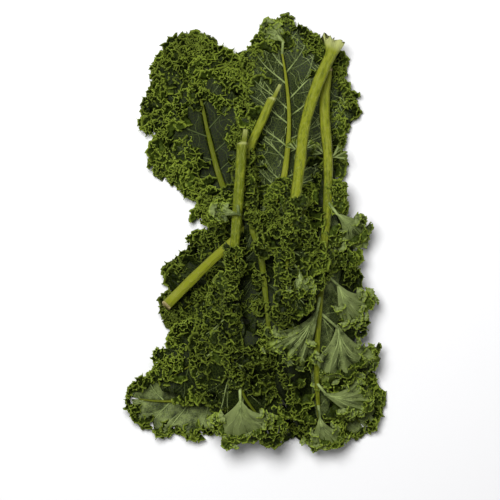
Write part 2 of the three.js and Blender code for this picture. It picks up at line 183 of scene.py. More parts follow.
class LeafPlan:
    """Places along a leaf's rib and beside it, and the outline of its blade."""

    def __init__(self, leaf):
        self.leaf = leaf
        points = np.array(leaf["rib"], float)
        points = np.vstack([2 * points[0] - points[1], points, 2 * points[-1] - points[-2]])
        spans = len(points) - 3
        t = np.linspace(0, spans, SAMPLES + 1)
        first = np.minimum(t.astype(int), spans - 1)
        w = (t - first)[:, None]
        p0, p1, p2, p3 = (points[first + k] for k in range(4))
        v0, v1 = (p2 - p0) / 2, (p3 - p1) / 2
        self.dense = ((2 * p1 - 2 * p2 + v0 + v1) * w**3 + (-3 * p1 + 3 * p2 - 2 * v0 - v1) * w**2
                      + v0 * w + p1)
        steps = np.hypot(*np.diff(self.dense, axis=0).T)
        self.lengths = np.concatenate([[0], np.cumsum(steps)])
        self.length = self.lengths[-1]
        self.start = leaf["bare"] * self.length
        self.blade = self.length - self.start
        self.rib_end = self.start + RIB_SHARE * self.blade
        self.margins = [self.margin_table(side) for side in (0, 1)]

    def on_rib(self, a):
        """The plan points at lengths a along the rib."""
        return np.interp(a, self.lengths, self.dense[:, 0]), np.interp(a, self.lengths, self.dense[:, 1])

    def direction(self, a):
        """The rib's way forward at lengths a along it, as unit vectors."""
        inside = np.clip(a, 1, self.length - 1)
        (x0, y0), (x1, y1) = self.on_rib(inside - 1), self.on_rib(inside + 1)
        size = np.hypot(x1 - x0, y1 - y0)
        return (x1 - x0) / size, (y1 - y0) / size

    def place(self, a, b):
        """The plan point a along the rib and b to its left, measured from the heap's middle."""
        inside = np.clip(a, 1, self.length - 1)
        tx, ty = self.direction(a)
        x, y = self.on_rib(inside)
        return x + tx * (a - inside) - ty * b - MIDDLE[0], y + ty * (a - inside) + tx * b - MIDDLE[1]

    def margin(self, side, t):
        """Points of a margin, along the rib and beside it, at shares t of the way from base to tip."""
        phase = 2 * math.pi * scatter(side + 1, self.leaf["seed"])
        lobe = np.sin(2 * math.pi * LOBES * t + phase)
        base = NARROW_BASE + (1 - NARROW_BASE) * smoothstep(t, *WIDENS)
        bow = np.maximum(np.sin(math.pi * t**BOW_LEAN), 0) ** BOW_FULLNESS
        back = BASE_BACK * (1 - smoothstep(t, 0, 0.12))
        along = self.start - back + self.blade * (1 - (1 - t) ** SWEEP)
        beside = self.leaf["reach"][side] * base * bow * (1 + LOBE_DEPTH * lobe * np.sin(math.pi * t))
        return along, beside

    def margin_table(self, side):
        """Shares t of a margin, and how long the margin is up to each."""
        t = np.linspace(0, 1, SAMPLES + 1)
        along, beside = self.margin(side, t)
        lengths = np.concatenate([[0], np.cumsum(np.hypot(np.diff(along), np.diff(beside)))])
        return t, lengths

    def point(self, side, s, v):
        """The plan point at share s of a side's margin and share v of the way from rib to margin."""
        shares, lengths = self.margins[side]
        t = np.interp(s * lengths[-1], lengths, shares)
        foot = self.start + RIB_SHARE * self.blade * t
        along, beside = self.margin(side, t)
        return self.place(foot + (along - foot) * v, (-1 if side else 1) * beside * v)


plans = [LeafPlan(leaf) for leaf in LEAVES]
print("longest leaf:", round(max(plan.length for plan in plans)), "mm")

# %% [markdown]
# ## Reading the plain model's heights
#
# The finer leaves have to lie exactly where the plain ones lie. Instead of repeating how those were draped,
# the script feels for them: from above, one ray for each cell of a 2 mm grid finds the top of every plain
# blade and stalk. A blade's heights are then smoothed, which takes out the plain frills and leaves the
# sheet that the fine frills stand on. For each leaf the lowest thing that lies on it is kept too, so that
# nothing pokes through.

# %% Heights on a grid
GRID = 2.0
GRID_X = np.arange(-150, 151, GRID)
GRID_Y = np.arange(-230, 231, GRID)
SKY, CELLAR = 300.0, -10.0  # heights far above the heap and under the table, to look down and up from
LEAST = 1e-9  # keeps a divisor above nothing
FADED = 0.02  # a place with a smaller share of known cells round it stays unknown
SHEET_BLURS = (4.0, 9.0, 20.0)  # the first takes the plain frills out, the others fill in round a blade


def heights_of(node, downwards=True):
    """The top of a node over each grid point, or its underside, in millimetres. NaN where it isn't."""
    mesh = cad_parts[node].data
    tree = BVHTree.FromPolygons([v.co for v in mesh.vertices], [p.vertices for p in mesh.polygons])
    low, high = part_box(node)
    field = np.full((len(GRID_Y), len(GRID_X)), np.nan)
    start, way = (SKY, -1) if downwards else (CELLAR, 1)
    for j in np.nonzero((GRID_Y >= low.y / MM) & (GRID_Y <= high.y / MM))[0]:
        for i in np.nonzero((GRID_X >= low.x / MM) & (GRID_X <= high.x / MM))[0]:
            hit = tree.ray_cast(Vector((GRID_X[i], GRID_Y[j], start)) * MM, Vector((0, 0, way)))[0]
            if hit is not None:
                field[j, i] = hit.z / MM
    return field


def blurred(field, sigma):
    """A field spread by a Gaussian of sigma millimetres."""
    reach = int(3 * sigma / GRID)
    kernel = np.exp(-0.5 * (np.arange(-reach, reach + 1) * GRID / sigma) ** 2)
    kernel /= kernel.sum()
    rows = np.apply_along_axis(lambda line: np.convolve(line, kernel, "same"), 1, field)
    return np.apply_along_axis(lambda line: np.convolve(line, kernel, "same"), 0, rows)


def spread(field, sigmas):
    """A smoothed field that also fills in round its edge, further and further out."""
    known = ~np.isnan(field)
    result = np.full(field.shape, np.nan)
    for sigma in sigmas:
        weight = blurred(known.astype(float), sigma)
        mean = blurred(np.where(known, field, 0), sigma) / np.maximum(weight, LEAST)
        result = np.where(np.isnan(result) & (weight > FADED), mean, result)
    return np.where(np.isnan(result), np.nanmin(field), result)


def at(field, x, y):
    """A field's values at points, from the four nearest cells."""
    u = np.clip((x - GRID_X[0]) / GRID, 0, len(GRID_X) - 1.001)
    v = np.clip((y - GRID_Y[0]) / GRID, 0, len(GRID_Y) - 1.001)
    i, j = u.astype(int), v.astype(int)
    du, dv = u - i, v - j
    return ((field[j, i] * (1 - du) + field[j, i + 1] * du) * (1 - dv)
            + (field[j + 1, i] * (1 - du) + field[j + 1, i + 1] * du) * dv)


blade_tops = [heights_of(f"{leaf['name']}_blade") for leaf in LEAVES]
stalk_tops = [heights_of(f"{leaf['name']}_stalk") for leaf in LEAVES]
stalk_feet = [heights_of(f"{leaf['name']}_stalk", downwards=False) for leaf in LEAVES]
sheets = [spread(top - BLADE_THICKNESS / 2, SHEET_BLURS) for top in blade_tops]


def ceiling_over(number):
    """The lowest thing on top of a leaf, from the leaves piled on it later."""
    above = [blade_tops[n] - BLADE_THICKNESS for n in range(number + 1, len(LEAVES))]
    above += [stalk_feet[n] for n in range(number + 1, len(LEAVES))]
    ceiling = np.full((len(GRID_Y), len(GRID_X)), SKY)
    for field in above:
        ceiling = np.fmin(ceiling, field)
    around = [np.roll(ceiling, (j, i), (0, 1)) for j in (-1, 0, 1) for i in (-1, 0, 1)]
    return np.min(around, axis=0)


ceilings = [ceiling_over(number) for number in range(len(LEAVES))]
print("top of the heap:", round(float(np.nanmax(blade_tops)), 1), "mm")

# %% [markdown]
# ## Thin closed sheets
#
# Blade, lobes and curls are all sheets about half a millimetre thick. A sheet is worked out as one surface,
# the middle of the leaf, and then thickened: its points move half the thickness along their normals for the
# face and as much the other way for the back, and the two meet at the rim. A Solidify modifier could do
# this too, but it adds a strip of faces round each rim and would have to be told which side is the face.
# Many curls share one pattern of triangles, so all the curls of a leaf are worked out together as one block
# of numbers.

# %% Sheet tools
LEAF_THICKNESS = 0.5
FLOOR, BACK_FLOOR = 0.3, 0.02  # the middle of a sheet and its underside come no nearer to the table than this


class Fan:
    """The pattern of a fan: rings of points from root to margin, each with the spans of the last or twice.

    rho is a point's share of the way from root to margin, and turn its place between the sides, -1 and 1. The
    first triangles of a ring are turned, so that none has all its points on the rim.
    """

    def __init__(self, rings):
        self.rho = np.concatenate([np.full(n + 1, rho) for rho, n in rings])
        self.turn = np.concatenate([np.linspace(-1, 1, n + 1) for _, n in rings])
        starts = np.cumsum([0] + [n + 1 for _, n in rings])
        triangles = []
        for ring, ((_, n), (_, m)) in enumerate(zip(rings, rings[1:])):
            inner, outer = starts[ring], starts[ring + 1]
            for k in range(n):
                a, b = inner + k, inner + k + 1
                if m == n:
                    c, d = outer + k, outer + k + 1
                    triangles += [(a, c, b), (b, c, d)] if k == 0 else [(a, c, d), (a, d, b)]
                else:
                    c, d, e = (outer + 2 * k + step for step in range(3))
                    triangles += [(a, c, d), (a, d, b), (b, d, e)]
        self.triangles = np.array(triangles)
        last = [starts[ring] + n for ring, (_, n) in enumerate(rings)]
        rim = list(range(starts[-2], starts[-1])) + last[-2::-1]
        rim += list(range(last[0] - 1, starts[0] - 1, -1)) + list(starts[1:-2])
        self.rim = np.array(rim)


class Patch:
    """The pattern of a rectangular grid, with each point's shares of its width, across, and length, along.

    The triangles in two of its corners are turned, so that none has all its points on the rim.
    """

    def __init__(self, columns, rows):
        across, along = np.meshgrid(np.linspace(0, 1, columns + 1), np.linspace(0, 1, rows + 1))
        self.across, self.along = across.ravel(), along.ravel()
        number = np.arange((columns + 1) * (rows + 1)).reshape(rows + 1, columns + 1)
        corners = number[:-1, :-1], number[:-1, 1:], number[1:, 1:], number[1:, :-1]
        a, b, c, d = (corner.ravel() for corner in corners)
        turned = np.zeros((rows, columns), bool)
        turned[0, -1] = turned[-1, 0] = True
        turned = turned.ravel()[:, None]
        self.triangles = np.concatenate([
            np.where(turned, np.stack([a, b, d], 1), np.stack([a, b, c], 1)),
            np.where(turned, np.stack([b, c, d], 1), np.stack([a, c, d], 1))])
        rim = list(number[0, :-1]) + list(number[:-1, -1]) + list(number[-1, :0:-1]) + list(number[:0:-1, 0])
        self.rim = np.array(rim)


def normals_of(points, triangles):
    """The unit normals of the points of many sheets with one pattern."""
    a, b, c = (points[:, triangles[:, k]] for k in range(3))
    faces = np.cross(b - a, c - a)
    normals = np.zeros_like(points)
    for k in range(3):
        np.add.at(normals, (slice(None), triangles[:, k]), faces)
    return normals / np.maximum(np.linalg.norm(normals, axis=2, keepdims=True), LEAST)


class Sheets:
    """Gathers closed sheets, in millimetres, and makes one mesh of them."""

    def __init__(self):
        self.points, self.triangles, self.slots, self.edges, self.uvs, self.tints = [], [], [], [], [], []
        self.count = 0

    def add(self, pattern, points, edge, uv, tint, face_up, thickness=LEAF_THICKNESS):
        """Adds sheets of one pattern: points is sheets x points x 3. The face gets slot 0, the back slot 1.

        edge says how near each point is to the margin, from 0 to 1, and tint how much lighter than usual.
        """
        copies, size = points.shape[:2]
        inside = np.setdiff1d(np.arange(size), pattern.rim)
        under = np.arange(size)
        under[inside] = size + np.arange(len(inside))
        half = normals_of(points, pattern.triangles) * thickness / 2
        half[:, pattern.rim] = 0
        both = np.concatenate([points + half, (points - half)[:, inside]], axis=1)
        both[..., 2] = np.maximum(both[..., 2], BACK_FLOOR)
        faces = np.concatenate([pattern.triangles, under[pattern.triangles[:, ::-1]]])
        slots = np.repeat((0, 1) if face_up else (1, 0), len(pattern.triangles))
        offsets = self.count + both.shape[1] * np.arange(copies)
        self.points.append(both.reshape(-1, 3))
        self.triangles.append((faces[None] + offsets[:, None, None]).reshape(-1, 3))
        self.slots.append(np.tile(slots, copies))
        self.edges.append(np.concatenate([edge, edge[:, inside]], axis=1).ravel())
        self.uvs.append(np.concatenate([uv, uv[:, inside]], axis=1).reshape(-1, 2))
        tint = np.broadcast_to(tint if tint.ndim == 2 else tint[:, None], (copies, size))
        self.tints.append(np.concatenate([tint, tint[:, inside]], axis=1).ravel())
        self.count += both.shape[1] * copies

    def mesh(self, name, materials):
        """The gathered sheets as a mesh object at the origin, in metres."""
        points, triangles = np.concatenate(self.points) * MM, np.concatenate(self.triangles)
        data = bpy.data.meshes.new(name)
        data.vertices.add(len(points))
        data.vertices.foreach_set("co", points.astype(np.float32).ravel())
        data.loops.add(triangles.size)
        data.loops.foreach_set("vertex_index", triangles.astype(np.int32).ravel())
        data.polygons.add(len(triangles))
        data.polygons.foreach_set("loop_start", np.arange(0, triangles.size, 3, dtype=np.int32))
        for material in materials:
            data.materials.append(material)
        data.polygons.foreach_set("material_index", np.concatenate(self.slots).astype(np.int32))
        data.polygons.foreach_set("use_smooth", np.ones(len(triangles), bool))
        for label, values in (("edge", self.edges), ("tint", self.tints)):
            attribute = data.attributes.new(label, "FLOAT", "POINT")
            attribute.data.foreach_set("value", np.concatenate(values).astype(np.float32))
        uv = data.uv_layers.new(name="fan")
        uv.data.foreach_set("uv", np.concatenate(self.uvs)[triangles.ravel()].astype(np.float32).ravel())
        data.update(calc_edges=True)
        data.validate()
        return linked(name, data)


def linked(name, data):
    """A new object in the scene, for a mesh, a lamp or a camera."""
    piece = bpy.data.objects.new(name, data)
    bpy.context.scene.collection.objects.link(piece)
    return piece


print("sheets are", LEAF_THICKNESS, "mm thick")

# %% [markdown]
# ## Materials
#
# A kale leaf is dark and a little waxy on its face and duller, greyer green on its back. Its margin is
# thinner, so light comes through it, and its rims catch the light, so it looks bright yellow-green: that is
# what draws the curls. The material paints that brightness on: the margin's colour is partly its own paler
# green and partly painted light. The colours could be painted on, but the sheets already know how near each
# point is to the margin, so a shader can do it. The mottling is the same effect on face, back and stalk, so
# it is one node group with its own values in each, and so is the net of the finest veins.

# %% The mottling and vein net groups
def node(tree, kind, **settings):
    """A new node in a tree, with its settings."""
    made = tree.nodes.new(kind)
    for name, value in settings.items():
        setattr(made, name, value)
    return made


def new_group(name, kind, inputs, outputs):
    """An empty node group with its sockets, its input and its output node."""
    group = bpy.data.node_groups.new(name, kind)
    for label, socket in inputs.items():
        group.interface.new_socket(name=label, in_out="INPUT", socket_type=f"NodeSocket{socket}")
    for label, socket in outputs.items():
        group.interface.new_socket(name=label, in_out="OUTPUT", socket_type=f"NodeSocket{socket}")
    return group, node(group, "NodeGroupInput"), node(group, "NodeGroupOutput")


GRAIN_SHARE = 0.45  # how much the fine noise counts beside the patches


def mottling_group():
    """Two colours mixed by noise of two sizes, a third towards the margin, which on leaves is partly painted
    light, and a fine height for bumps.
    """
    group, given, put = new_group(
        "leaf_mottling", "ShaderNodeTree",
        {"Place": "Vector", "Deep": "Color", "Lit": "Color", "Margin": "Color", "Patch size": "Float",
         "Grain size": "Float", "Deep up to": "Float", "Lit from": "Float", "Margin share": "Float",
         "Tint": "Float"},
        {"Color": "Color", "Height": "Float"})
    patches, grain = node(group, "ShaderNodeTexNoise"), node(group, "ShaderNodeTexNoise")
    patches.inputs["Detail"].default_value = 3
    grain.inputs["Detail"].default_value = 2
    blend = node(group, "ShaderNodeMath", operation="MULTIPLY_ADD")
    blend.inputs[1].default_value = GRAIN_SHARE
    shift = node(group, "ShaderNodeMath", operation="ADD")
    contrast = node(group, "ShaderNodeMapRange", interpolation_type="SMOOTHSTEP")
    tone = node(group, "ShaderNodeMix", data_type="RGBA")
    rim = node(group, "ShaderNodeMix", data_type="RGBA")
    link = group.links.new
    for noise, size in ((patches, "Patch size"), (grain, "Grain size")):
        link(given.outputs["Place"], noise.inputs["Vector"])
        link(given.outputs[size], noise.inputs["Scale"])
    link(grain.outputs["Fac"], blend.inputs[0])
    link(patches.outputs["Fac"], blend.inputs[2])
    link(blend.outputs[0], shift.inputs[0])
    link(given.outputs["Tint"], shift.inputs[1])
    link(given.outputs["Deep up to"], contrast.inputs["From Min"])
    link(given.outputs["Lit from"], contrast.inputs["From Max"])
    link(shift.outputs[0], contrast.inputs["Value"])
    link(contrast.outputs["Result"], tone.inputs["Factor"])
    link(given.outputs["Deep"], tone.inputs["A"])
    link(given.outputs["Lit"], tone.inputs["B"])
    link(given.outputs["Margin share"], rim.inputs["Factor"])
    link(tone.outputs["Result"], rim.inputs["A"])
    link(given.outputs["Margin"], rim.inputs["B"])
    link(rim.outputs["Result"], put.inputs["Color"])
    link(grain.outputs["Fac"], put.inputs["Height"])
    return group


def vein_net_group():
    """The finest veins: the lines between the cells of a pattern, from 0 to 1."""
    group, given, put = new_group("vein_net", "ShaderNodeTree",
                                  {"Place": "Vector", "Cell size": "Float", "Line width": "Float"},
                                  {"Mask": "Float"})
    cells = node(group, "ShaderNodeTexVoronoi", feature="DISTANCE_TO_EDGE")
    line = node(group, "ShaderNodeMapRange", interpolation_type="SMOOTHSTEP")
    line.inputs["To Min"].default_value = 1
    line.inputs["To Max"].default_value = 0
    link = group.links.new
    link(given.outputs["Place"], cells.inputs["Vector"])
    link(given.outputs["Cell size"], cells.inputs["Scale"])
    link(cells.outputs["Distance"], line.inputs["Value"])
    link(given.outputs["Line width"], line.inputs["From Max"])
    link(line.outputs["Result"], put.inputs["Mask"])
    return group


MOTTLING, VEIN_NET = mottling_group(), vein_net_group()

# %% Plant surfaces
NET_CELL, NET_LINE = 2.6, 0.11  # the cells of the finest net, and the share of a cell that its lines take
BUMP_HEIGHT = 0.4
# the margin's bright colour is partly painted light, and a darker leaf, painted shade included, loses more of
# it
TINT_AT_MARGIN = 1.1  # how much a dark leaf loses of its bright margin


def margin_share(tree, tint, rim_from, rim_most):
    """How much of the margin's colour, partly painted light on leaves, each point gets, by its nearness to
    the margin and its leaf's tint, painted shade included.
    """
    edge = node(tree, "ShaderNodeAttribute", attribute_name="edge")
    rim = node(tree, "ShaderNodeMapRange", interpolation_type="SMOOTHSTEP")
    rim.inputs["From Min"].default_value = rim_from
    rim.inputs["To Max"].default_value = rim_most
    shaded = node(tree, "ShaderNodeMath", operation="MULTIPLY_ADD")
    shaded.inputs[1].default_value, shaded.inputs[2].default_value = TINT_AT_MARGIN, 1.0
    dimmed = node(tree, "ShaderNodeMath", operation="MULTIPLY", use_clamp=True)
    tree.links.new(edge.outputs["Fac"], rim.inputs["Value"])
    tree.links.new(tint.outputs["Fac"], shaded.inputs[0])
    tree.links.new(rim.outputs["Result"], dimmed.inputs[0])
    tree.links.new(shaded.outputs[0], dimmed.inputs[1])
    return dimmed.outputs[0]


def netted(tree, place, colour, height, line_colour, strength):
    """A colour and a height with the net of the finest veins drawn over them."""
    finest = node(tree, "ShaderNodeGroup", node_tree=VEIN_NET)
    finest.inputs["Cell size"].default_value = 1 / (NET_CELL * MM)
    finest.inputs["Line width"].default_value = NET_LINE
    faint = node(tree, "ShaderNodeMath", operation="MULTIPLY")
    faint.inputs[1].default_value = strength
    lines = node(tree, "ShaderNodeMix", data_type="RGBA")
    lines.inputs["B"].default_value = (*line_colour, 1)
    raised = node(tree, "ShaderNodeMath", operation="ADD")
    tree.links.new(place, finest.inputs["Place"])
    tree.links.new(finest.outputs["Mask"], faint.inputs[0])
    tree.links.new(faint.outputs[0], lines.inputs["Factor"])
    tree.links.new(colour, lines.inputs["A"])
    tree.links.new(height, raised.inputs[0])
    tree.links.new(finest.outputs["Mask"], raised.inputs[1])
    return lines.outputs["Result"], raised.outputs[0]


def plant_material(name, deep, lit, margin, patch, grain, roughness, bump, rim_from=0.62, rim_most=0.85,
                   shine=0.15, net=0.0, along=None, tones=(0.45, 1.1)):
    """A plant surface. Sizes are in millimetres. `along` stretches the pattern along a stalk's own UV map.

    deep, lit and margin are its colours. The margin's begins at the share rim_from of the way out, and at the
    margin its share is rim_most. tones are the levels of noise that are wholly deep and wholly lit.
    """
    material = bpy.data.materials.new(name)
    material.use_nodes = True
    tree = material.node_tree
    shader = tree.nodes["Principled BSDF"]
    link = tree.links.new
    mottle = node(tree, "ShaderNodeGroup", node_tree=MOTTLING)
    for socket, value in (("Deep", deep), ("Lit", lit), ("Margin", margin)):
        mottle.inputs[socket].default_value = (*value, 1)
    mottle.inputs["Patch size"].default_value = 1 / (patch * MM)
    mottle.inputs["Grain size"].default_value = 1 / (grain * MM)
    mottle.inputs["Deep up to"].default_value, mottle.inputs["Lit from"].default_value = tones
    place = node(tree, "ShaderNodeTexCoord").outputs["Object"]
    if along:
        stretch = node(tree, "ShaderNodeMapping")
        stretch.inputs["Scale"].default_value = (MM, MM / along, 1)
        lengthwise = node(tree, "ShaderNodeUVMap", uv_map="fan")
        link(lengthwise.outputs["UV"], stretch.inputs["Vector"])
        place = stretch.outputs["Vector"]
    link(place, mottle.inputs["Place"])
    tint = node(tree, "ShaderNodeAttribute", attribute_name="tint")
    link(tint.outputs["Fac"], mottle.inputs["Tint"])
    link(margin_share(tree, tint, rim_from, rim_most), mottle.inputs["Margin share"])
    colour, height = mottle.outputs["Color"], mottle.outputs["Height"]
    if net:
        colour, height = netted(tree, place, colour, height, margin, net)
    bumps = node(tree, "ShaderNodeBump")
    bumps.inputs["Strength"].default_value = bump
    bumps.inputs["Distance"].default_value = BUMP_HEIGHT * MM
    link(height, bumps.inputs["Height"])
    link(bumps.outputs["Normal"], shader.inputs["Normal"])
    link(colour, shader.inputs["Base Color"])
    shader.inputs["Roughness"].default_value = roughness
    shader.inputs["Specular IOR Level"].default_value = shine
    return material


# face and back: the margin's colour is partly the margin's own paler green and partly painted light, through
# the thin margin and on the lit rims
FACE = plant_material("kale_face", (0.005, 0.009, 0.001), (0.038, 0.060, 0.005), (0.212, 0.275, 0.03),
                      patch=12, grain=1.6, roughness=0.55, bump=0.35, rim_from=0.74, shine=0.09, net=0.1)
BACK = plant_material("kale_back", (0.015, 0.023, 0.006), (0.19, 0.235, 0.08), (0.25, 0.33, 0.045),
                      patch=9, grain=1.2, roughness=0.6, bump=0.5, rim_from=0.7, net=0.2, tones=(0.52, 1.02))
VEIN = plant_material("kale_vein", (0.05, 0.07, 0.016), (0.33, 0.41, 0.14), (0.36, 0.45, 0.16),
                      patch=10, grain=1.2, roughness=0.5, bump=0.3)
STALK_LOOK = dict(deep=(0.095, 0.12, 0.003), lit=(0.200, 0.227, 0.012), patch=3, grain=0.8, roughness=0.5,
                  bump=0.6, shine=0.12, net=0.1, along=3.0, tones=(0.56, 0.9))
STALK = plant_material("kale_stalk", margin=(0.42, 0.45, 0.16), rim_from=0.1, **STALK_LOOK)
CUT_STALK = plant_material("kale_stalk_cut", margin=(0.45, 0.37, 0.16), rim_from=0.45, rim_most=1.0,
                           **STALK_LOOK)
print("materials:", [material.name for material in (FACE, BACK, VEIN, STALK, CUT_STALK)])

# %% [markdown]
# ## Curls
#
# Near the margin the blade grows in length but not in width, so it folds into ruffles, and the ruffles fold
# again. One sheet with finer and finer waves would do it, but it needs millions of points. The heap shows
# the margins as separate little tufts, so each tuft is made as one fan: its root sits on the leaf, it leans
# up and outwards, and its margin waves twice over, with large waves across the fan and small ones riding on
# their slopes. Copies of one fan would look stamped, and could not follow the leaf under them, so each fan
# has its own shape from one rule.

# %% Ruffled fans
FLAT_ROOT = 0.25  # the share of a fan, from its root, without waves
ROOT_LEAN = 0.35  # how much of its lean a fan has at its root already
SWAY = 0.45  # how far a fold swings sideways for its height, which makes it overhang


def fans(rho, turn, base, heading, radius, half_angle, lean, waves, depth, teeth, tooth_depth, draws):
    """The points of many fans: sheets x points x 3, with the height counted from the root.

    base is the root's plan point, heading the plan angle that a fan opens towards, half_angle how wide it
    opens to each side, and lean how steeply it rises. waves and depth are for the large folds, teeth and
    tooth_depth for the small ones, and draws are two numbers from 0 to 1 that say where the folds start.
    """
    rho, turn = rho[None], turn[None]
    col = lambda values: np.asarray(values, float)[:, None]
    theta = turn * col(half_angle) + col(heading)
    rise = np.clip((rho - FLAT_ROOT) / (1 - FLAT_ROOT), 0, 1)
    phase, second = col(2 * math.pi * draws[0]), col(2 * math.pi * draws[1])
    phi = math.pi * waves * turn + phase + 0.9 * np.sin(2.1 * turn + second)
    large = col(depth) * rise**1.2
    uneven = 1 + rise**2 * (0.09 * np.sin(7.3 * turn + phase) + 0.07 * np.sin(17 * turn + second))
    reach = col(radius) * rho * uneven
    out_x, out_y = np.cos(theta), np.sin(theta)
    leaning = col(lean) * (ROOT_LEAN + (1 - ROOT_LEAN) * rise)
    out, up = reach * np.cos(leaning), reach * np.sin(leaning)
    wave, sway = large * np.sin(phi), SWAY * large * np.sin(2 * phi)
    slope = np.arctan(large * np.cos(phi) * math.pi * waves / (col(radius) * col(half_angle)))
    small = col(tooth_depth) * rise**2 * np.sin(math.pi * teeth * turn + second + 1.5 * np.sin(phi))
    push = wave + small * np.cos(slope)
    out = out - np.sin(leaning) * push
    side = sway - small * np.sin(slope)
    return np.stack([col(base[0]) + out_x * out - out_y * side, col(base[1]) + out_y * out + out_x * side,
                     up + np.cos(leaning) * push], axis=2)


# %% [markdown]
# ## Laying things down
#
# Every sheet has to lie on its own leaf, stay under the leaves piled on it and above the table. Blender's
# Shrinkwrap could press a finished mesh on to another, but it would press its folds flat as well. Here each
# point keeps its height over the leaf, and only the leaf's own height is added. Where curls cover a rib
# they stand on the rib, so that it disappears under them.

# %% Grounds to lie on
HUMP_BLUR, HUMP_ENDS = 2.6, 0.06  # how far a rib's top spreads sideways, and its share of rib where it ends
SWELL_BLUR, SWELL_HEIGHT, SWELL_RANGE = 7.0, 2.2, (-4.5, 4.0)
CLUMP_ON_RIB, CLUMP_FOOT, CLUMP_BLUR = 0.62, 1.1, 8.0  # how curls beside a rib climb up to its height


def rib_hump(number):
    """The top of a leaf's stalk where the stalk is, and far below elsewhere."""
    known = ~np.isnan(stalk_tops[number])
    weight = blurred(known.astype(float), HUMP_BLUR)
    mean = blurred(np.where(known, stalk_tops[number], 0), HUMP_BLUR) / np.maximum(weight, LEAST)
    return np.where(weight > HUMP_ENDS, mean, -SKY)


def swell(number):
    """Slow swells, a few millimetres high, that gather a leaf's curls into clumps and set their painted
    shade.
    """
    noise = np.random.default_rng(40 + number).normal(size=(len(GRID_Y), len(GRID_X)))
    slow = blurred(noise, SWELL_BLUR)
    return np.clip(slow / slow.std() * SWELL_HEIGHT, *SWELL_RANGE)


seats = [np.maximum(sheet, rib_hump(number)) for number, sheet in enumerate(sheets)]
humps = [seats[number] - sheet for number, sheet in enumerate(sheets)]
swells = [swell(number) for number in range(len(LEAVES))]
clumps = [sheet + np.maximum(CLUMP_ON_RIB * hump, CLUMP_FOOT * blurred(hump, CLUMP_BLUR)) + swelling
          for sheet, hump, swelling in zip(sheets, humps, swells)]
print("ribs stand out by up to", round(float(np.max(humps)), 1), "mm")

# %% Laying points down
COVER_GAP = 0.8  # a leaf's sheets stay this far below what lies on them
COVER_REACH = 9  # how far round a point a leaf has to be covered before it counts as hidden
TABLE_YIELD = 10  # the higher, the closer together sheets that would sink into the table lie on it


def off_the_table(z):
    """Heights kept above the table but still in their order, so that nothing folds flat on it."""
    return np.where(z > 2 * FLOOR, z, FLOOR * (1 + np.exp(np.minimum(z / FLOOR - 2, 0) / TABLE_YIELD)))


def laid(points, number, ground=None):
    """Points whose heights count from a leaf's sheet, or from other ground, set down on it."""
    x, y, rise = points[..., 0], points[..., 1], points[..., 2]
    z = (at(sheets[number], x, y) if ground is None else ground) + rise
    z = np.minimum(z, np.maximum(at(ceilings[number], x, y) - COVER_GAP, FLOOR))
    return np.stack([x, y, off_the_table(z)], axis=-1)


def is_covered(number, x, y):
    """True where a leaf is hidden under the ones above it, all round a point."""
    around = [at(ceilings[number], x + COVER_REACH * i, y + COVER_REACH * j) < SKY - 1
              for i, j in ((0, 0), (1, 0), (-1, 0), (0, 1), (0, -1))]
    return np.all(around, axis=0)


# %% [markdown]
# ## The curls of a leaf
#
# On the real leaf the curls are one long margin, folded up. Here their roots stand in rows that follow the
# margin, each row further in than the last, so that every curl opens the way the leaf grew. Scattering them
# evenly would lose that direction. Tufts fill single places, and some more curls sit along the stretches of
# rib that the real leaves hide. No curl stands in a gap or in the dips of the leaf's slow swells, which
# leaves dark seams between clumps as in the real heap.

# %% Where curls stand
CURL = Fan([(0.1, 6), (0.42, 12), (0.68, 24), (0.86, 48), (1.0, 48)])
CURL_RADIUS, CURL_SPACING = 10.5, 9.0
STANDS_PROUD = 7.0  # a curl that would reach further than this beyond the plain model's box is smaller,
LEAST_RADIUS = 3.0  # though not smaller than this
STEEPEST = 0.9  # curls and lobes stand out from a leaf where it falls away more steeply than this
RIB_CLEAR = 8.0  # curls keep this far from a rib, except where they hide it
DIP = -2.9  # where a leaf swells less than this, there is a dark gap between its clumps
CURL_SINK, RIB_SINK = 1.0, 0.3  # how deep a curl's root sits in the leaf, and in a rib that it hides
MARGIN_ROW, MARGIN_SIZE = 0.4, 0.7  # the outermost row: its distance from the margin in radii, and its size
FIRST_ROW, ROW_STEP = 0.72, 0.75  # the next row's distance, and the steps from there inwards in spacings
ROOT_ROW = 0.35  # how long a row close to the rib is, as a share of the margin
ALONG_DRAW, OUT_DRAW, FACING_STEP = 0.35, 0.06, 0.02
TIP_FROM = 0.88  # past this share of the leaf, curls may stand on the rib
TUFT_SIZE = 0.9
RIB_SPACING, RIB_WIDTH = 2.2, 5.0  # of the curls that hide a rib: along it, and to each side of it


def within_room(radius, x, y):
    """Radii, made smaller where a curl would reach far beyond the plain model's box."""
    room = np.minimum(cad_box[1][0] / MM + STANDS_PROUD - np.abs(x),
                      cad_box[1][1] / MM + STANDS_PROUD - np.abs(y))
    return np.minimum(radius, np.maximum(room, LEAST_RADIUS))


def in_gaps(leaf, x, y):
    """True where a leaf leaves the heap under it open to view."""
    inside = np.zeros(len(x), bool)
    for middle, radii in leaf["gaps"]:
        away = (np.stack([x, y], 1) + MIDDLE - middle) / radii
        inside |= np.hypot(*away.T) < 1
    return inside


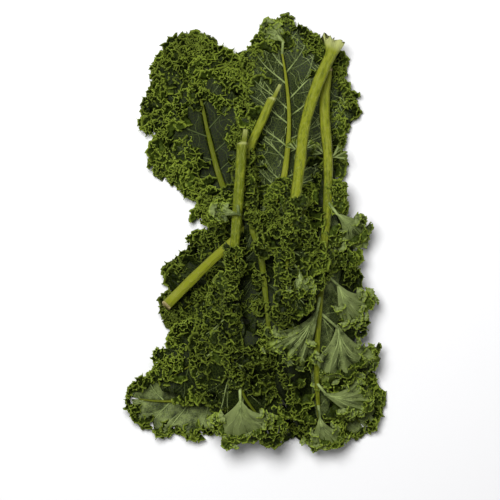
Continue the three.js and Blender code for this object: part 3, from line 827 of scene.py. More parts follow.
def margin_bases(number, random):
    """Roots of curls in rows between rib and margin.

    The columns are plan x and y, the way outwards, the size, and 1 for roots on the rib or 0 for others.
    """
    leaf, plan = LEAVES[number], plans[number]
    bases = []
    for side in (0, 1):
        total, width = plan.margins[side][1][-1], leaf["reach"][side]
        outer = 1 - FIRST_ROW * CURL_RADIUS / width + leaf["beyond"]
        rows = [(1 - MARGIN_ROW * CURL_RADIUS / width + leaf["beyond"], MARGIN_SIZE)]
        rows += [(v, 1.0) for v in np.arange(outer, min(leaf["curls"], outer - 0.01),
                                             -ROW_STEP * CURL_SPACING / width)]
        for v, size in rows:
            count = max(3, int(total * (ROOT_ROW + (1 - ROOT_ROW) * v) / (CURL_SPACING * size)))
            s = (np.arange(count) + 0.5 + random.uniform(-ALONG_DRAW, ALONG_DRAW, count)) / count
            s = np.clip(s, 0.015, 0.985)
            here = np.clip(v + random.uniform(-OUT_DRAW, OUT_DRAW, count), 0.02, 1.05)
            x, y = plan.point(side, s, here)
            x1, y1 = plan.point(side, s, here + FACING_STEP)
            way = np.arctan2(y1 - y, x1 - x)
            bases.append(np.stack([x, y, way, np.full(count, size), np.zeros(count)], 1))
    bases = np.concatenate(bases)
    away = np.hypot(*(bases[:, None, :2] - (plan.dense - MIDDLE)[None]).transpose(2, 0, 1))
    along = plan.lengths[np.argmin(away, axis=1)] / plan.length
    return bases[(away.min(axis=1) > RIB_CLEAR) | (along > TIP_FROM)]


def tuft_bases(number, random):
    """Roots of the curls of a leaf's tufts, which open every way, in the same columns."""
    bases = []
    for middle, radius, count in LEAVES[number]["tufts"]:
        way = random.uniform(-math.pi, math.pi, count)
        away = radius * np.sqrt((np.arange(count) + 0.5) / count)
        x, y = middle[0] - MIDDLE[0] + away * np.cos(way), middle[1] - MIDDLE[1] + away * np.sin(way)
        bases.append(np.stack([x, y, random.uniform(-math.pi, math.pi, count), np.full(count, TUFT_SIZE),
                               np.zeros(count)], 1))
    return np.concatenate(bases) if bases else np.zeros((0, 5))


def rib_bases(number, random):
    """Roots of the curls that hide stretches of the rib, in the same columns, with 1 for on the rib."""
    leaf, plan = LEAVES[number], plans[number]
    bases = []
    for low, high in leaf["hidden"]:
        count = int((high - low) * plan.length / RIB_SPACING)
        a = (low + (high - low) * (np.arange(count) + random.uniform(0, 1, count)) / count) * plan.length
        b = random.uniform(-RIB_WIDTH, RIB_WIDTH, count)
        x, y = plan.place(a, b)
        tx, ty = plan.direction(a)
        way = np.arctan2(ty, tx) + np.sign(b) * random.uniform(0.2, 1.7, count)
        bases.append(np.stack([x, y, way, random.uniform(0.6, 1.0, count), np.ones(count)], 1))
    return np.concatenate(bases) if bases else np.zeros((0, 5))


# %% Adding the curls
CURL_SIZES, CURL_ANGLES, CURL_LEANS = (0.75, 1.15), (1.4, 2.1), (0.15, 1.0)
CURL_WAVES, CURL_DEPTH, DEPTH_SHARES = 4.2, 2.9, (0.8, 1.2)
TOOTH_WAVES, TOOTH_DEPTH = 7.5, 0.9
HEADING_DRAW = 0.9
FLAP_EVERY, FLAP_GROWTH = 11, 1.3  # every eleventh curl, if it is full-sized, becomes a larger flap
# painted shade: curls low in the dips of the swells are painted darker, and those that swell up lighter
TINT_DRAW, SWELL_PAINTED_SHADE = (-0.3, 0.25), 0.045  # curls differ in tone, and those that swell up are lighter


def add_curls(number, gathered, lobes):
    """Adds a leaf's curls, where no gap, dip, lobe or leaf above is in their way. Gives their number back."""
    leaf = LEAVES[number]
    random = np.random.default_rng(100 + leaf["seed"])
    bases = np.concatenate([kind(number, random) for kind in (margin_bases, rib_bases, tuft_bases)])
    x, y = bases[:, 0], bases[:, 1]
    open_above = np.any([in_gaps(above, x, y) for above in LEAVES[number:]], axis=0)
    dips = (at(swells[number], x, y) < DIP) & (bases[:, 4] == 0)
    bases = bases[~in_gaps(leaf, x, y) & ~dips & (open_above | ~is_covered(number, x, y))]
    for lobe in lobes:
        bases = bases[~lobe.covers(bases[:, 0], bases[:, 1])]
    count = len(bases)
    radius = CURL_RADIUS * random.uniform(*CURL_SIZES, count) * bases[:, 3]
    flaps = (np.arange(count) % FLAP_EVERY == 0) & (bases[:, 3] == 1)
    radius = within_room(np.where(flaps, FLAP_GROWTH * radius, radius), *bases[:, :2].T)
    heading = bases[:, 2] + random.uniform(-HEADING_DRAW, HEADING_DRAW, count)
    lean = random.uniform(*CURL_LEANS, count)
    points = fans(CURL.rho, CURL.turn, bases[:, :2].T, heading, radius, random.uniform(*CURL_ANGLES, count),
                  lean, CURL_WAVES, CURL_DEPTH * random.uniform(*DEPTH_SHARES, count) * bases[:, 3],
                  TOOTH_WAVES, TOOTH_DEPTH * np.sqrt(bases[:, 3]), random.uniform(0, 1, (2, count)))
    on_rib = bases[:, 4:5] > 0
    ground, foot = (np.where(on_rib, at(seats[number], x, y) - RIB_SINK, at(clumps[number], x, y) - CURL_SINK)
                    for x, y in ((points[..., 0], points[..., 1]), (bases[:, :1], bases[:, 1:2])))
    away = np.hypot(points[..., 0] - bases[:, :1], points[..., 1] - bases[:, 1:2])
    points = laid(points, number, foot + np.clip(ground - foot, -STEEPEST * away, STEEPEST * away))
    edge = np.broadcast_to(CURL.rho, (count, len(CURL.rho)))
    uv = np.broadcast_to(np.stack([CURL.turn, CURL.rho], 1), (count, len(CURL.rho), 2))
    # painted shade: the leaf's value darkens the curls of the leaves in the middle of the heap, and a painted
    # sheen lightens the middle left leaf's
    tint = leaf["painted_shade_and_sheen"] + random.uniform(*TINT_DRAW, count)
    # painted shade: the lower a curl's swell, the darker it is painted
    tint = tint + SWELL_PAINTED_SHADE * at(swells[number], *bases[:, :2].T)
    gathered.add(CURL, points, edge, uv, tint, face_up=True)
    return count


# %% [markdown]
# ## Webs
#
# Between rib and curls the blade is smooth, and swells up a little between its side veins. Sculpting would
# give that too, but the veins would then have to be traced by hand. The web is one sheet on each side of
# the rib, which follows the leaf's sheet, and its pads come from the same rule that places the veins, so
# that each vein runs along a valley. Skirts are more such sheets: blade between curls and lobes, painted
# darker as shade.

# %% Webs
WEB = Patch(120, 10)
VEIN_SWEEP = 0.05  # how far side veins lean towards the tip, as a share of the margin
FIRST_VEIN, VEIN_OFFSET = 0.45, 0.3  # in spacings: the first vein's place, and how much further on side 1
PAD, PAD_SINK, PAD_ROUNDNESS = 1.1, 0.4, 0.7
RUFFLES, FACE_RUFFLE, BACK_RUFFLE = 90, 4.0, 1.4  # their closeness, and their height with face or back up
# skirts lie lower than the web and wave, and are painted darker as shade
SKIRT_SINK, SKIRT_WAVE, SKIRT_PAINTED_SHADE = 2.0, 1.5, -0.6
WEB_ENDS = (0.004, 0.996)  # shares of the margin: a web stops just short of a leaf's base and tip
WEB_SPAN = 12  # how many times longer than wide the web's own map is


def vein_share(leaf, side, k, v):
    """Where along the margin's shares side vein k runs, at share v of the way to the margin."""
    place = (k + FIRST_VEIN + VEIN_OFFSET * side) / leaf["veins"]
    return place + VEIN_SWEEP * v + 0.012 * np.sin(3 * k + leaf["seed"])


def web_height(leaf, side, s, v):
    """How far the blade bulges up between its side veins and ruffles towards its margin."""
    veins_passed = (s - VEIN_SWEEP * v) * leaf["veins"] - FIRST_VEIN - VEIN_OFFSET * side
    pads = np.abs(np.sin(math.pi * veins_passed)) ** PAD_ROUNDNESS
    ruffle = (BACK_RUFFLE if leaf["back_up"] else FACE_RUFFLE) * np.sin(RUFFLES * s + 4 * v + leaf["seed"])
    return (PAD * pads - PAD_SINK) * smoothstep(v, 0, 0.15) + ruffle * smoothstep(v, 0.55, 1)


def add_patch(number, gathered, side, s, v, height, tint, face_up):
    """Adds one sheet of blade beside the rib, at shares s of a margin and v of the way out to it."""
    x, y = plans[number].point(side, s, v)
    points = laid(np.stack([x, y, height], 1)[None], number)
    uv = np.stack([s * WEB_SPAN, v], 1)[None]
    gathered.add(WEB, points, np.zeros((1, len(s))), uv, np.array([tint]), face_up)


def add_web(number, gathered):
    """Adds the smooth blade on both sides of a leaf's rib, and its skirts. A web's outer margin is uneven."""
    leaf = LEAVES[number]
    for side in (0, 1):
        s = np.clip(WEB.across if side == 0 else 1 - WEB.across, *WEB_ENDS)
        v = leaf["web"][side] * WEB.along * (1 + 0.14 * WEB.along**2 * np.sin(41 * s + leaf["seed"]))
        # the leaf's tint, which for the top right and inner leaves is partly painted shade
        add_patch(number, gathered, side, s, v, web_height(leaf, side, s, v), leaf["tint"],
                  face_up=not leaf["back_up"])
    for side, low, high, inner, outer in leaf["skirts"]:
        s = np.clip(low + (high - low) * (WEB.across if side == 0 else 1 - WEB.across), *WEB_ENDS)
        v = inner + (outer - inner) * WEB.along
        height = SKIRT_WAVE * np.sin(70 * s + 5 * v) * WEB.along - SKIRT_SINK
        # a skirt is painted darker as shade
        add_patch(number, gathered, side, s, v, height, SKIRT_PAINTED_SHADE, face_up=True)


# %% [markdown]
# ## Lobes
#
# The leaves that lie with their backs up show their blade as lobes, like scallop shells: narrow at the
# root, with a pale vein down the middle that forks, and a pleated margin that ends in a fringe of small
# curls. They could be cut out of the web, but a lobe stands clear of the leaf and overlaps its neighbours,
# so it is a fan of its own. One surface formula gives the mesh and the paths of the veins on it, so they
# can't part.

# %% Lobes
LOBE = Fan([(0.03, 8), (0.16, 16), (0.3, 16), (0.42, 32), (0.53, 32), (0.63, 64), (0.73, 64), (0.82, 64),
            (0.9, 128), (1.0, 128)])
ROOT_WIDTH, WIDENING = 0.5, 0.62  # the share of its angle that a lobe opens at its root, and then adds
PLEATS, PLEATS_FROM, PLEAT_HEIGHT, PLEAT_SWAY = 4.5, 0.4, 4.4, 0.4
TEETH, TOOTH_HEIGHT = 15, 1.1
ARCH, DROOP, SIDE_DROOP = 6.0, 2.5, 4.0  # a lobe rises from its root, and droops to its margin and its sides
RIDGE_HEIGHT, LOBE_LIFT = 0.7, 2.0
# painted light and shade: the crests of the pleats are painted lighter and their valleys darker, as the light
# falls on them
CREST_PAINTED_LIGHT = 0.45  # how much lighter the crests of the pleats are
COVERED_ANGLE, COVERED_SHARES = 1.25, (0.1, 1.05)  # how far round and out a lobe keeps curls away


def pleat_share(rho):
    """How far the pleats have grown at a share rho of the way from a lobe's root to its margin."""
    return np.clip((rho - PLEATS_FROM) / (1 - PLEATS_FROM), 0, 1)


class Lobe:
    """A lobe of blade from its root to its pleated margin."""

    def __init__(self, number, root, tip, half_angle, tint, random):
        """root and tip are plan points, and phases make each lobe's pleats and outline its own."""
        self.number, self.half_angle, self.tint = number, half_angle, tint
        self.root = np.array(root, float) - MIDDLE
        way = np.array(tip, float) - root
        self.radius, self.heading = math.hypot(*way), math.atan2(way[1], way[0])
        self.phases = random.uniform(0, 2 * math.pi, 5)
        self.seat = float(at(seats[number], *self.root[:, None])[0])

    def pleats(self, turn):
        """The phase of the pleats round the margin."""
        return math.pi * PLEATS * turn + self.phases[3] + 0.8 * np.sin(2.4 * turn + self.phases[4])

    def surface(self, rho, turn, lift=0.0):
        """Points on the lobe, from root (rho 0) to margin (rho 1) and side to side (turn -1 to 1)."""
        p = self.phases
        opening = turn * self.half_angle * (ROOT_WIDTH + WIDENING * rho)
        theta = self.heading + opening + 0.12 * np.sin(2.5 * rho + p[0])
        uneven = 0.1 * np.sin(4.2 * turn + p[1]) + 0.06 * np.sin(9.5 * turn + p[2])
        reach = self.radius * rho * (1 + rho**3 * uneven - 0.16 * rho * np.abs(turn) ** 3)
        rise = pleat_share(rho)
        phi = self.pleats(turn)
        pleat = PLEAT_HEIGHT * rise**1.4 * np.sin(phi)
        tooth = TOOTH_HEIGHT * rise**2 * np.sin(math.pi * TEETH * turn + p[0] + 1.5 * np.sin(phi))
        side = PLEAT_SWAY * PLEAT_HEIGHT * rise**1.4 * np.sin(2 * phi)
        x = self.root[0] + np.cos(theta) * reach - np.sin(theta) * side
        y = self.root[1] + np.sin(theta) * reach + np.cos(theta) * side
        arch = ARCH * np.sin(math.pi * np.clip(rho, 0, 1) ** 0.75)
        arch = arch - DROOP * rho**3 - SIDE_DROOP * turn**2 * rho
        ridges = RIDGE_HEIGHT * np.abs(np.sin(4.5 * turn + 0.3)) * np.clip(1 - 1.2 * rise, 0, 1) * rho
        ground = np.maximum(at(seats[self.number], x, y), self.seat - 0.7 * STEEPEST * reach)
        points = np.stack([x, y, arch + pleat + tooth + ridges], axis=-1)
        return laid(points, self.number, ground + LOBE_LIFT + lift)

    def covers(self, x, y):
        """True where a curl's root would be under this lobe."""
        away = np.stack([x, y], -1) - self.root
        angle = np.arctan2(away[..., 1], away[..., 0]) - self.heading
        angle = np.abs((angle + math.pi) % (2 * math.pi) - math.pi)
        share = np.hypot(away[..., 0], away[..., 1]) / self.radius
        low, high = COVERED_SHARES
        return (angle < self.half_angle * COVERED_ANGLE) & (share > low) & (share < high)


# %% Fringes
FRINGE = Fan([(0.1, 6), (0.45, 12), (0.72, 24), (0.88, 48), (1.0, 48)])
FRINGE_SPACING = 2.6
FRINGE_OUT, FRINGE_IN = 0.97, 0.13  # the fringe's curls stand by turns here and this much further in
SIDE_CURLS, SIDE_RANGE = 3, (0.55, 0.85)  # the number and range of curls down each side of a lobe
FRINGE_SIZES, FRINGE_ANGLES, FRINGE_LEANS = (4.0, 7.5), (1.2, 1.8), (-0.3, 0.8)
FRINGE_WAVES, FRINGE_DEPTHS, FRINGE_TEETH, FRINGE_TOOTH = 3.2, (1.6, 2.6), 6.0, 0.7
FRINGE_HEADING, FRINGE_TINT, FRINGE_SINK = 0.7, 0.3, 0.3
BACKS_SHARE, BACKS_END = 0.5, 0.8  # so many curls have their backs up, and all that are further in than this


def fringe_roots(lobe, random):
    """Where a fringe's curls start on a lobe: shares of the way out and places between its sides."""
    round_margin = int(2 * lobe.half_angle * lobe.radius * (ROOT_WIDTH + WIDENING) / FRINGE_SPACING)
    down_side = np.linspace(*SIDE_RANGE, SIDE_CURLS)
    turn = np.concatenate([np.linspace(-1, 1, round_margin), np.full(SIDE_CURLS, -0.97),
                           np.full(SIDE_CURLS, 0.97)])
    rho = np.concatenate([FRINGE_OUT - FRINGE_IN * (np.arange(round_margin) % 2), down_side, down_side])
    turn = np.clip(turn + random.uniform(-0.06, 0.06, len(turn)), -1, 1)
    return rho + random.uniform(-0.04, 0.03, len(rho)), turn


def add_fringe(lobe, gathered, random):
    """Adds the small curls round a lobe's margin, half of them with their backs up."""
    rho, turn = fringe_roots(lobe, random)
    base, beyond = lobe.surface(rho, turn), lobe.surface(rho + 0.03, turn * 1.02)
    count = len(turn)
    outwards = np.arctan2(*(beyond - base)[:, 1::-1].T)
    heading = outwards + random.uniform(-FRINGE_HEADING, FRINGE_HEADING, count)
    radius = within_room(random.uniform(*FRINGE_SIZES, count), *base[:, :2].T)
    points = fans(FRINGE.rho, FRINGE.turn, base[:, :2].T, heading, radius,
                  random.uniform(*FRINGE_ANGLES, count), random.uniform(*FRINGE_LEANS, count), FRINGE_WAVES,
                  random.uniform(*FRINGE_DEPTHS, count), FRINGE_TEETH, np.full(count, FRINGE_TOOTH),
                  random.uniform(0, 1, (2, count)))
    points[..., 2] += base[:, None, 2] - FRINGE_SINK
    points[..., 2] = off_the_table(points[..., 2])
    edge = np.broadcast_to(FRINGE.rho, (count, len(FRINGE.rho)))
    uv = np.broadcast_to(np.stack([FRINGE.turn, FRINGE.rho], 1), (count, len(FRINGE.rho), 2))
    backs = (random.uniform(0, 1, count) < BACKS_SHARE) | (rho < BACKS_END)
    for chosen, face_up in ((backs, False), (~backs, True)):
        tint = lobe.tint + random.uniform(-FRINGE_TINT, FRINGE_TINT, int(chosen.sum()))
        gathered.add(FRINGE, points[chosen], edge[chosen], uv[chosen], tint, face_up)


def add_lobes(number, gathered):
    """Adds a leaf's lobes with their fringes. Gives the lobes back, for their veins."""
    leaf = LEAVES[number]
    random = np.random.default_rng(300 + leaf["seed"])
    lobes = [Lobe(number, *lobe, random) for lobe in leaf["lobes"]]
    for lobe in lobes:
        points = lobe.surface(LOBE.rho, LOBE.turn)[None]
        uv = np.stack([LOBE.turn, LOBE.rho], 1)[None]
        # painted light and shade on the pleats: lighter crests, darker valleys
        crest_light = np.sin(lobe.pleats(LOBE.turn)) * pleat_share(LOBE.rho)
        tint = (lobe.tint + CREST_PAINTED_LIGHT * crest_light)[None]
        gathered.add(LOBE, points, LOBE.rho[None] ** 2, uv, tint, face_up=False)
        add_fringe(lobe, gathered, random)
    return lobes


# %% [markdown]
# ## Tubes along paths
#
# Veins of all sizes are the same thing: a round strand that follows a path and gets thinner along it. A
# Geometry Nodes tree turns a path of edges, with a thickness stored at each point, into such a strand. The
# path could be a curve object with a bevel, but the tree does a hundred veins at once and takes its sizes
# as named inputs.

# %% The strand tree
def strand_tree(material):
    """A tree that sweeps a ring of so many Sides along Paths, at each point as wide as its thickness."""
    tree, given, put = new_group("strands", "GeometryNodeTree",
                                 {"Paths": "Geometry", "Sides": "Int", "Scale": "Float"},
                                 {"Strands": "Geometry"})
    curves = node(tree, "GeometryNodeMeshToCurve")
    upright = node(tree, "GeometryNodeSetCurveNormal", mode="Z_UP")
    thickness = node(tree, "GeometryNodeInputNamedAttribute", data_type="FLOAT")
    thickness.inputs["Name"].default_value = "thickness"
    sized = node(tree, "ShaderNodeMath", operation="MULTIPLY")
    ring = node(tree, "GeometryNodeCurvePrimitiveCircle")
    ring.inputs["Radius"].default_value = 1.0
    strands = node(tree, "GeometryNodeCurveToMesh")
    strands.inputs["Fill Caps"].default_value = True
    smooth = node(tree, "GeometryNodeSetShadeSmooth")
    real = node(tree, "GeometryNodeRealizeInstances")
    coat = node(tree, "GeometryNodeSetMaterial")
    coat.inputs["Material"].default_value = material
    link = tree.links.new
    link(given.outputs["Paths"], curves.inputs["Mesh"])
    link(curves.outputs["Curve"], upright.inputs["Curve"])
    link(upright.outputs["Curve"], strands.inputs["Curve"])
    link(thickness.outputs["Attribute"], sized.inputs[0])
    link(given.outputs["Scale"], sized.inputs[1])
    link(sized.outputs[0], strands.inputs["Scale"])
    link(given.outputs["Sides"], ring.inputs["Resolution"])
    link(ring.outputs["Curve"], strands.inputs["Profile Curve"])
    link(strands.outputs["Mesh"], smooth.inputs["Geometry"])
    link(smooth.outputs["Geometry"], real.inputs["Geometry"])
    link(real.outputs["Geometry"], coat.inputs["Geometry"])
    link(coat.outputs["Geometry"], put.inputs["Strands"])
    return tree


def strands(name, paths, tree, sides, tint):
    """Paths of points x (x, y, z, radius), in millimetres, as one mesh of tapered strands above the table."""
    points = np.concatenate(paths)
    points[:, 2] = np.maximum(points[:, 2], points[:, 3])
    ends = np.cumsum([len(path) for path in paths])
    edges = [(i, i + 1) for i in range(len(points) - 1) if i + 1 not in ends]
    data = bpy.data.meshes.new(f"{name}_paths")
    data.from_pydata((points[:, :3] * MM).tolist(), edges, [])
    attribute = data.attributes.new("thickness", "FLOAT", "POINT")
    attribute.data.foreach_set("value", (points[:, 3] * MM).astype(np.float32))
    carrier = linked(f"{name}_paths", data)
    modifier = carrier.modifiers.new("strands", "NODES")
    modifier.node_group = tree
    inputs = {item.name: item.identifier for item in tree.interface.items_tree if item.in_out == "INPUT"}
    modifier[inputs["Sides"]] = sides
    modifier[inputs["Scale"]] = 1.0
    graph = bpy.context.evaluated_depsgraph_get()
    mesh = bpy.data.meshes.new_from_object(carrier.evaluated_get(graph))
    bpy.data.objects.remove(carrier)
    attribute = mesh.attributes.new("tint", "FLOAT", "POINT")
    attribute.data.foreach_set("value", np.full(len(mesh.vertices), tint, np.float32))
    mesh.name = name
    return linked(name, mesh)


VEINS = strand_tree(VEIN)
print("strand tree nodes:", len(VEINS.nodes))

# %% [markdown]
# ## Veins
#
# From the midrib a vein runs out to each part of the margin, thick at the rib and gone before the curls,
# and forks on the way. Finer cross veins join each to the next. All show pale and raised on the back of a
# leaf. A bump in the material would do for a view from far above, but strands also catch the light from the
# side.

# %% Vein paths
VEIN_POINTS, VEIN_SIDES = 13, 5
VEIN_REACH = 0.97  # veins stop at this share of the web
FORK_WIDTH, FORK_BEND, FORK_THINNING = 1.5, 0.8, 0.5
VEIN_TAPER, VEIN_LIFT, LIFT_BY_WIDTH = 0.8, 0.1, 0.5  # how much a vein thins, and how high it stands
NET_POINTS, NET_SLANT = 7, 0.12  # a cross vein ends this much nearer to the rib than it starts
NET_LIFT, NET_RADIUS, NET_ENDS = 0.15, 0.2, 0.12  # and is this much thicker at its ends
WEB_RANGE, NET_RANGE = (0.005, 0.985), (0.01, 0.97)  # shares of the margin: paths beyond them are left out
# Where each leaves its vein, how far it drifts along the margin, and its radius. The first is the vein.
VEIN_FORKS = [(0.0, 0.0, 0.95), (0.16, -0.06, 0.26), (0.3, 0.055, 0.3), (0.42, 0.08, 0.24),
              (0.5, -0.05, 0.27), (0.65, 0.045, 0.24)]


def vein_path(number, side, k, start, drift, thick, reach):
    """Points and radii of side vein k or one of its forks, or None where it would run off the blade."""
    leaf = LEAVES[number]
    v = np.linspace(start * reach, reach, VEIN_POINTS)
    s = vein_share(leaf, side, k, v) + drift * ((v - start * reach) / reach) ** FORK_BEND * FORK_WIDTH
    s = s + 0.07 / leaf["veins"] * v * np.sin(8 * v + 2.3 * k + 5 * start)
    if s.min() < WEB_RANGE[0] or s.max() > WEB_RANGE[1]:
        return None
    height = web_height(leaf, side, s, v) + VEIN_LIFT + LIFT_BY_WIDTH * thick
    path = laid(np.stack([*plans[number].point(side, s, v), height], 1), number)
    taper = 1 - VEIN_TAPER * (v - start * reach) / (reach - start * reach)
    return np.column_stack([path, thick * (1 - FORK_THINNING * start) * taper])


def cross_vein(number, side, k, step, reach):
    """Points and radii of a cross vein from side vein k to the next, or None where it would run off."""
    leaf = LEAVES[number]
    near = (step + 0.5 + 0.3 * math.sin(5 * k + 3 * step)) / leaf["net"]
    share = np.linspace(0, 1, NET_POINTS)
    v = (near + NET_SLANT * (1 - share) + 0.02 * np.sin(9 * share + k)) * reach
    s = vein_share(leaf, side, k, v) + share / leaf["veins"]
    if v.max() > 0.99 * reach or s.min() < NET_RANGE[0] or s.max() > NET_RANGE[1]:
        return None
    height = web_height(leaf, side, s, v) + NET_LIFT
    path = laid(np.stack([*plans[number].point(side, s, v), height], 1), number)
    return np.column_stack([path, NET_RADIUS + NET_ENDS * np.abs(2 * share - 1)])


def web_veins(number):
    """The paths of all veins on a leaf's web."""
    leaf = LEAVES[number]
    paths = []
    for side in (0, 1):
        reach = leaf["web"][side] * VEIN_REACH
        for k in range(leaf["veins"]):
            paths += [vein_path(number, side, k, *fork, reach) for fork in VEIN_FORKS]
            paths += [cross_vein(number, side, k, step, reach) for step in range(leaf["net"])]
    return [path for path in paths if path is not None]


# %% Lobe veins
STEM_POINTS, STEM_RADII = 8, (1.6, 1.25)
STEM_BACK, STEM_SINK = 9, 1.5  # a lobe's vein leaves the rib this far back, and starts this deep in it
LOBE_POINTS, LOBE_VEIN_REACH, LOBE_VEIN_TAPER, LOBE_VEIN_LIFT = 18, 0.93, 0.7, 0.25
# Where each fork leaves the lobe's middle vein, how far it turns aside, and its radius.
LOBE_FORKS = ((0.12, 0.75, 0.7), (0.28, 0.48, 0.55), (0.48, 0.26, 0.45))


def lobe_stem(number, lobe):
    """The vein from a leaf's rib to the root of a lobe."""
    plan = plans[number]
    near = np.argmin(np.hypot(*(plan.dense - MIDDLE - lobe.root).T))
    foot = max(plan.lengths[near] - STEM_BACK, 1)
    x, y = plan.place(np.array([foot]), np.zeros(1))
    first = np.array([x[0], y[0], at(seats[number], x, y)[0] - STEM_SINK])
    last = lobe.surface(np.array([0.1]), np.zeros(1))[0]
    share = np.linspace(0, 1, STEM_POINTS)[:, None]
    stem = first + (last - first) * share
    stem[:, 2] += STEM_SINK * np.sin(math.pi * share[:, 0])
    return np.column_stack([stem, np.linspace(*STEM_RADII, STEM_POINTS)])


def lobe_veins(number, lobes):
    """The paths of all veins of a leaf's lobes."""
    paths = []
    for lobe in lobes:
        paths.append(lobe_stem(number, lobe))
        forks = [(0.05, 0.0, STEM_RADII[1])]
        forks += [(start, sign * turn, thick) for sign in (-1, 1) for start, turn, thick in LOBE_FORKS]
        for start, turn, thick in forks:
            rho = np.linspace(start, LOBE_VEIN_REACH, LOBE_POINTS)
            share = (rho - start) / (LOBE_VEIN_REACH - start)
            path = lobe.surface(rho, turn * share**0.75, LOBE_VEIN_LIFT)
            paths.append(np.column_stack([path, thick * (1 - LOBE_VEIN_TAPER * share)]))
    return paths


print("veins on webs:", sum(len(web_veins(number)) for number in range(len(LEAVES))))

# %% [markdown]
# ## Stalks
#
# A picked kale stalk is a firm, slightly ridged rod that runs into the blade as its midrib and gets thinner
# all the way. Some here are cut, and some were torn and end in a sliver or a ragged flare. The strand tree
# could sweep a round stalk, but not these ends or the ridges. So a stalk is written out as rings of points,
# carried along the rib at the plain stalk's height, with shallow ridges and slow swellings.

# %% The size of stalks
STALK_SIDES = 32
STALK_BLURS = (2.5, 6.0, 12.0)  # how far a plain stalk's top is spread out, to read its height beside it too
BARE_THINNING = 0.12  # how much thinner than its end a stalk is where its blade begins
RIB_SLIMMING, SLIM_OVER, RIB_SINKING = 0.35, 8, 1.2  # a rib that curls hide is slimmer and lies deeper
TOP_TO_MIDDLE = 0.72  # how far a stalk's middle is below its top, in radii
stalk_lines = [spread(tops, STALK_BLURS) for tops in stalk_tops]


def depth_under_curls(plan, a):
    """How far places along the rib are inside a stretch that curls hide, and below 0 outside."""
    depths = [np.minimum(a - low * plan.length, high * plan.length - a) for low, high in plan.leaf["hidden"]]
    return np.max([*depths, np.full(len(a), -1.0)], axis=0)


def stalk_radius(plan, a):
    """A stalk's radius along the rib: the plain stalk's, slimmer within the blade and under curls."""
    inside = np.clip((a - plan.start) / (plan.rib_end - plan.start), 0, 1)
    most, power = plan.leaf["taper"]
    slim = 1 - RIB_SLIMMING * smoothstep(depth_under_curls(plan, a), 0, SLIM_OVER)
    bare = 1 - BARE_THINNING * np.clip(a / plan.start, 0, 1)
    return plan.leaf["stalk"] * bare * (1 - most * inside**power) * slim


def stalk_middle(number, a):
    """The height of a stalk's middle along the rib, from the plain stalk."""
    plan = plans[number]
    x, y = plan.place(a, np.zeros_like(a))
    sunk = RIB_SINKING * (depth_under_curls(plan, a) > 0)
    return at(stalk_lines[number], x, y) - TOP_TO_MIDDLE * stalk_radius(plan, a) - sunk


# %% Stalk ends
ENDS = {"inner": ("sliver", 16.0), "bottom_middle": ("sliver", 14.0), "front": ("flare", 15.0)}
CUT_REACH = 3.0  # other ends are cut, and differ from the stalk over this length only


def end_shape(kind, reach, a, turn, random):
    """How a stalk's end differs: its width and height shares, its shift sideways and its ragged length."""
    u = np.clip(a / reach, 0, 1)[:, None]
    ragged = (1 - smoothstep(u, 0, 0.5)) * random.uniform(-1, 1, turn.shape)
    if kind == "sliver":
        width = 0.4 + 0.16 * u + 0.44 * smoothstep(u, 0.76, 1)
        return width, width**0.5, 0.85 * (1 - width), 0.5 * ragged
    if kind == "flare":
        return 1 + 1.1 * (1 - u) ** 1.6, 1 - 0.6 * (1 - u) ** 2, -0.75 * (1 - u) ** 1.6, 3.5 * ragged
    return 1 + 0.06 * (1 - u), 1 + 0 * u, 0 * u, (1 - u) * (1.8 * np.sin(turn) + 0.25 * ragged)


def torn_share(kind, reach, a):
    """How much of a stalk's pale inside shows along it: most at its end, and where a sliver split off."""
    if kind == "sliver":
        split = 0.8 * np.exp(-((a - 0.9 * reach) / 1.6) ** 2)
        return np.maximum(0.7 - 0.5 * smoothstep(a, 0, 0.8 * reach), split) * (a < reach + 3)
    if kind == "flare":
        return 1 - smoothstep(a, 0, 14)
    return 1 - smoothstep(a, 0.3, 5.0)


# %% Stalk meshes
END_STEP, RIB_STEP = 0.8, 2.0  # the spacing of a stalk's rings near its end and further on
COARSE_RIDGES, FINE_RIDGES = (7, 0.04), (12, 0.025)  # how many run round a stalk, and how high, as a share
FLATNESS = 0.88  # a stalk's height, as a share of its width
STALK_FLOOR = 0.05  # no stalk comes nearer to the table than this
END_HOLLOW = 0.7  # how deep the middle of an end is sunk in
STALK_TINT, TINT_CHANGE = 0.1, 25  # a stalk's tint, and the length over which it becomes the midrib's


def tube_faces(rings):
    """The triangles of a closed tube, whose points are its rings and then one for each end."""
    ring = np.arange(STALK_SIDES)
    after = (ring + 1) % STALK_SIDES
    low = (np.arange(rings - 1) * STALK_SIDES)[:, None]
    high = low + STALK_SIDES
    end = (rings - 1) * STALK_SIDES
    first, last = end + STALK_SIDES, end + STALK_SIDES + 1
    return np.concatenate([
        np.stack([low + ring, low + after, high + after], 2).reshape(-1, 3),
        np.stack([low + ring, high + after, high + ring], 2).reshape(-1, 3),
        np.stack([np.full(STALK_SIDES, first), after, ring], 1),
        np.stack([np.full(STALK_SIDES, last), end + ring, end + after], 1)])


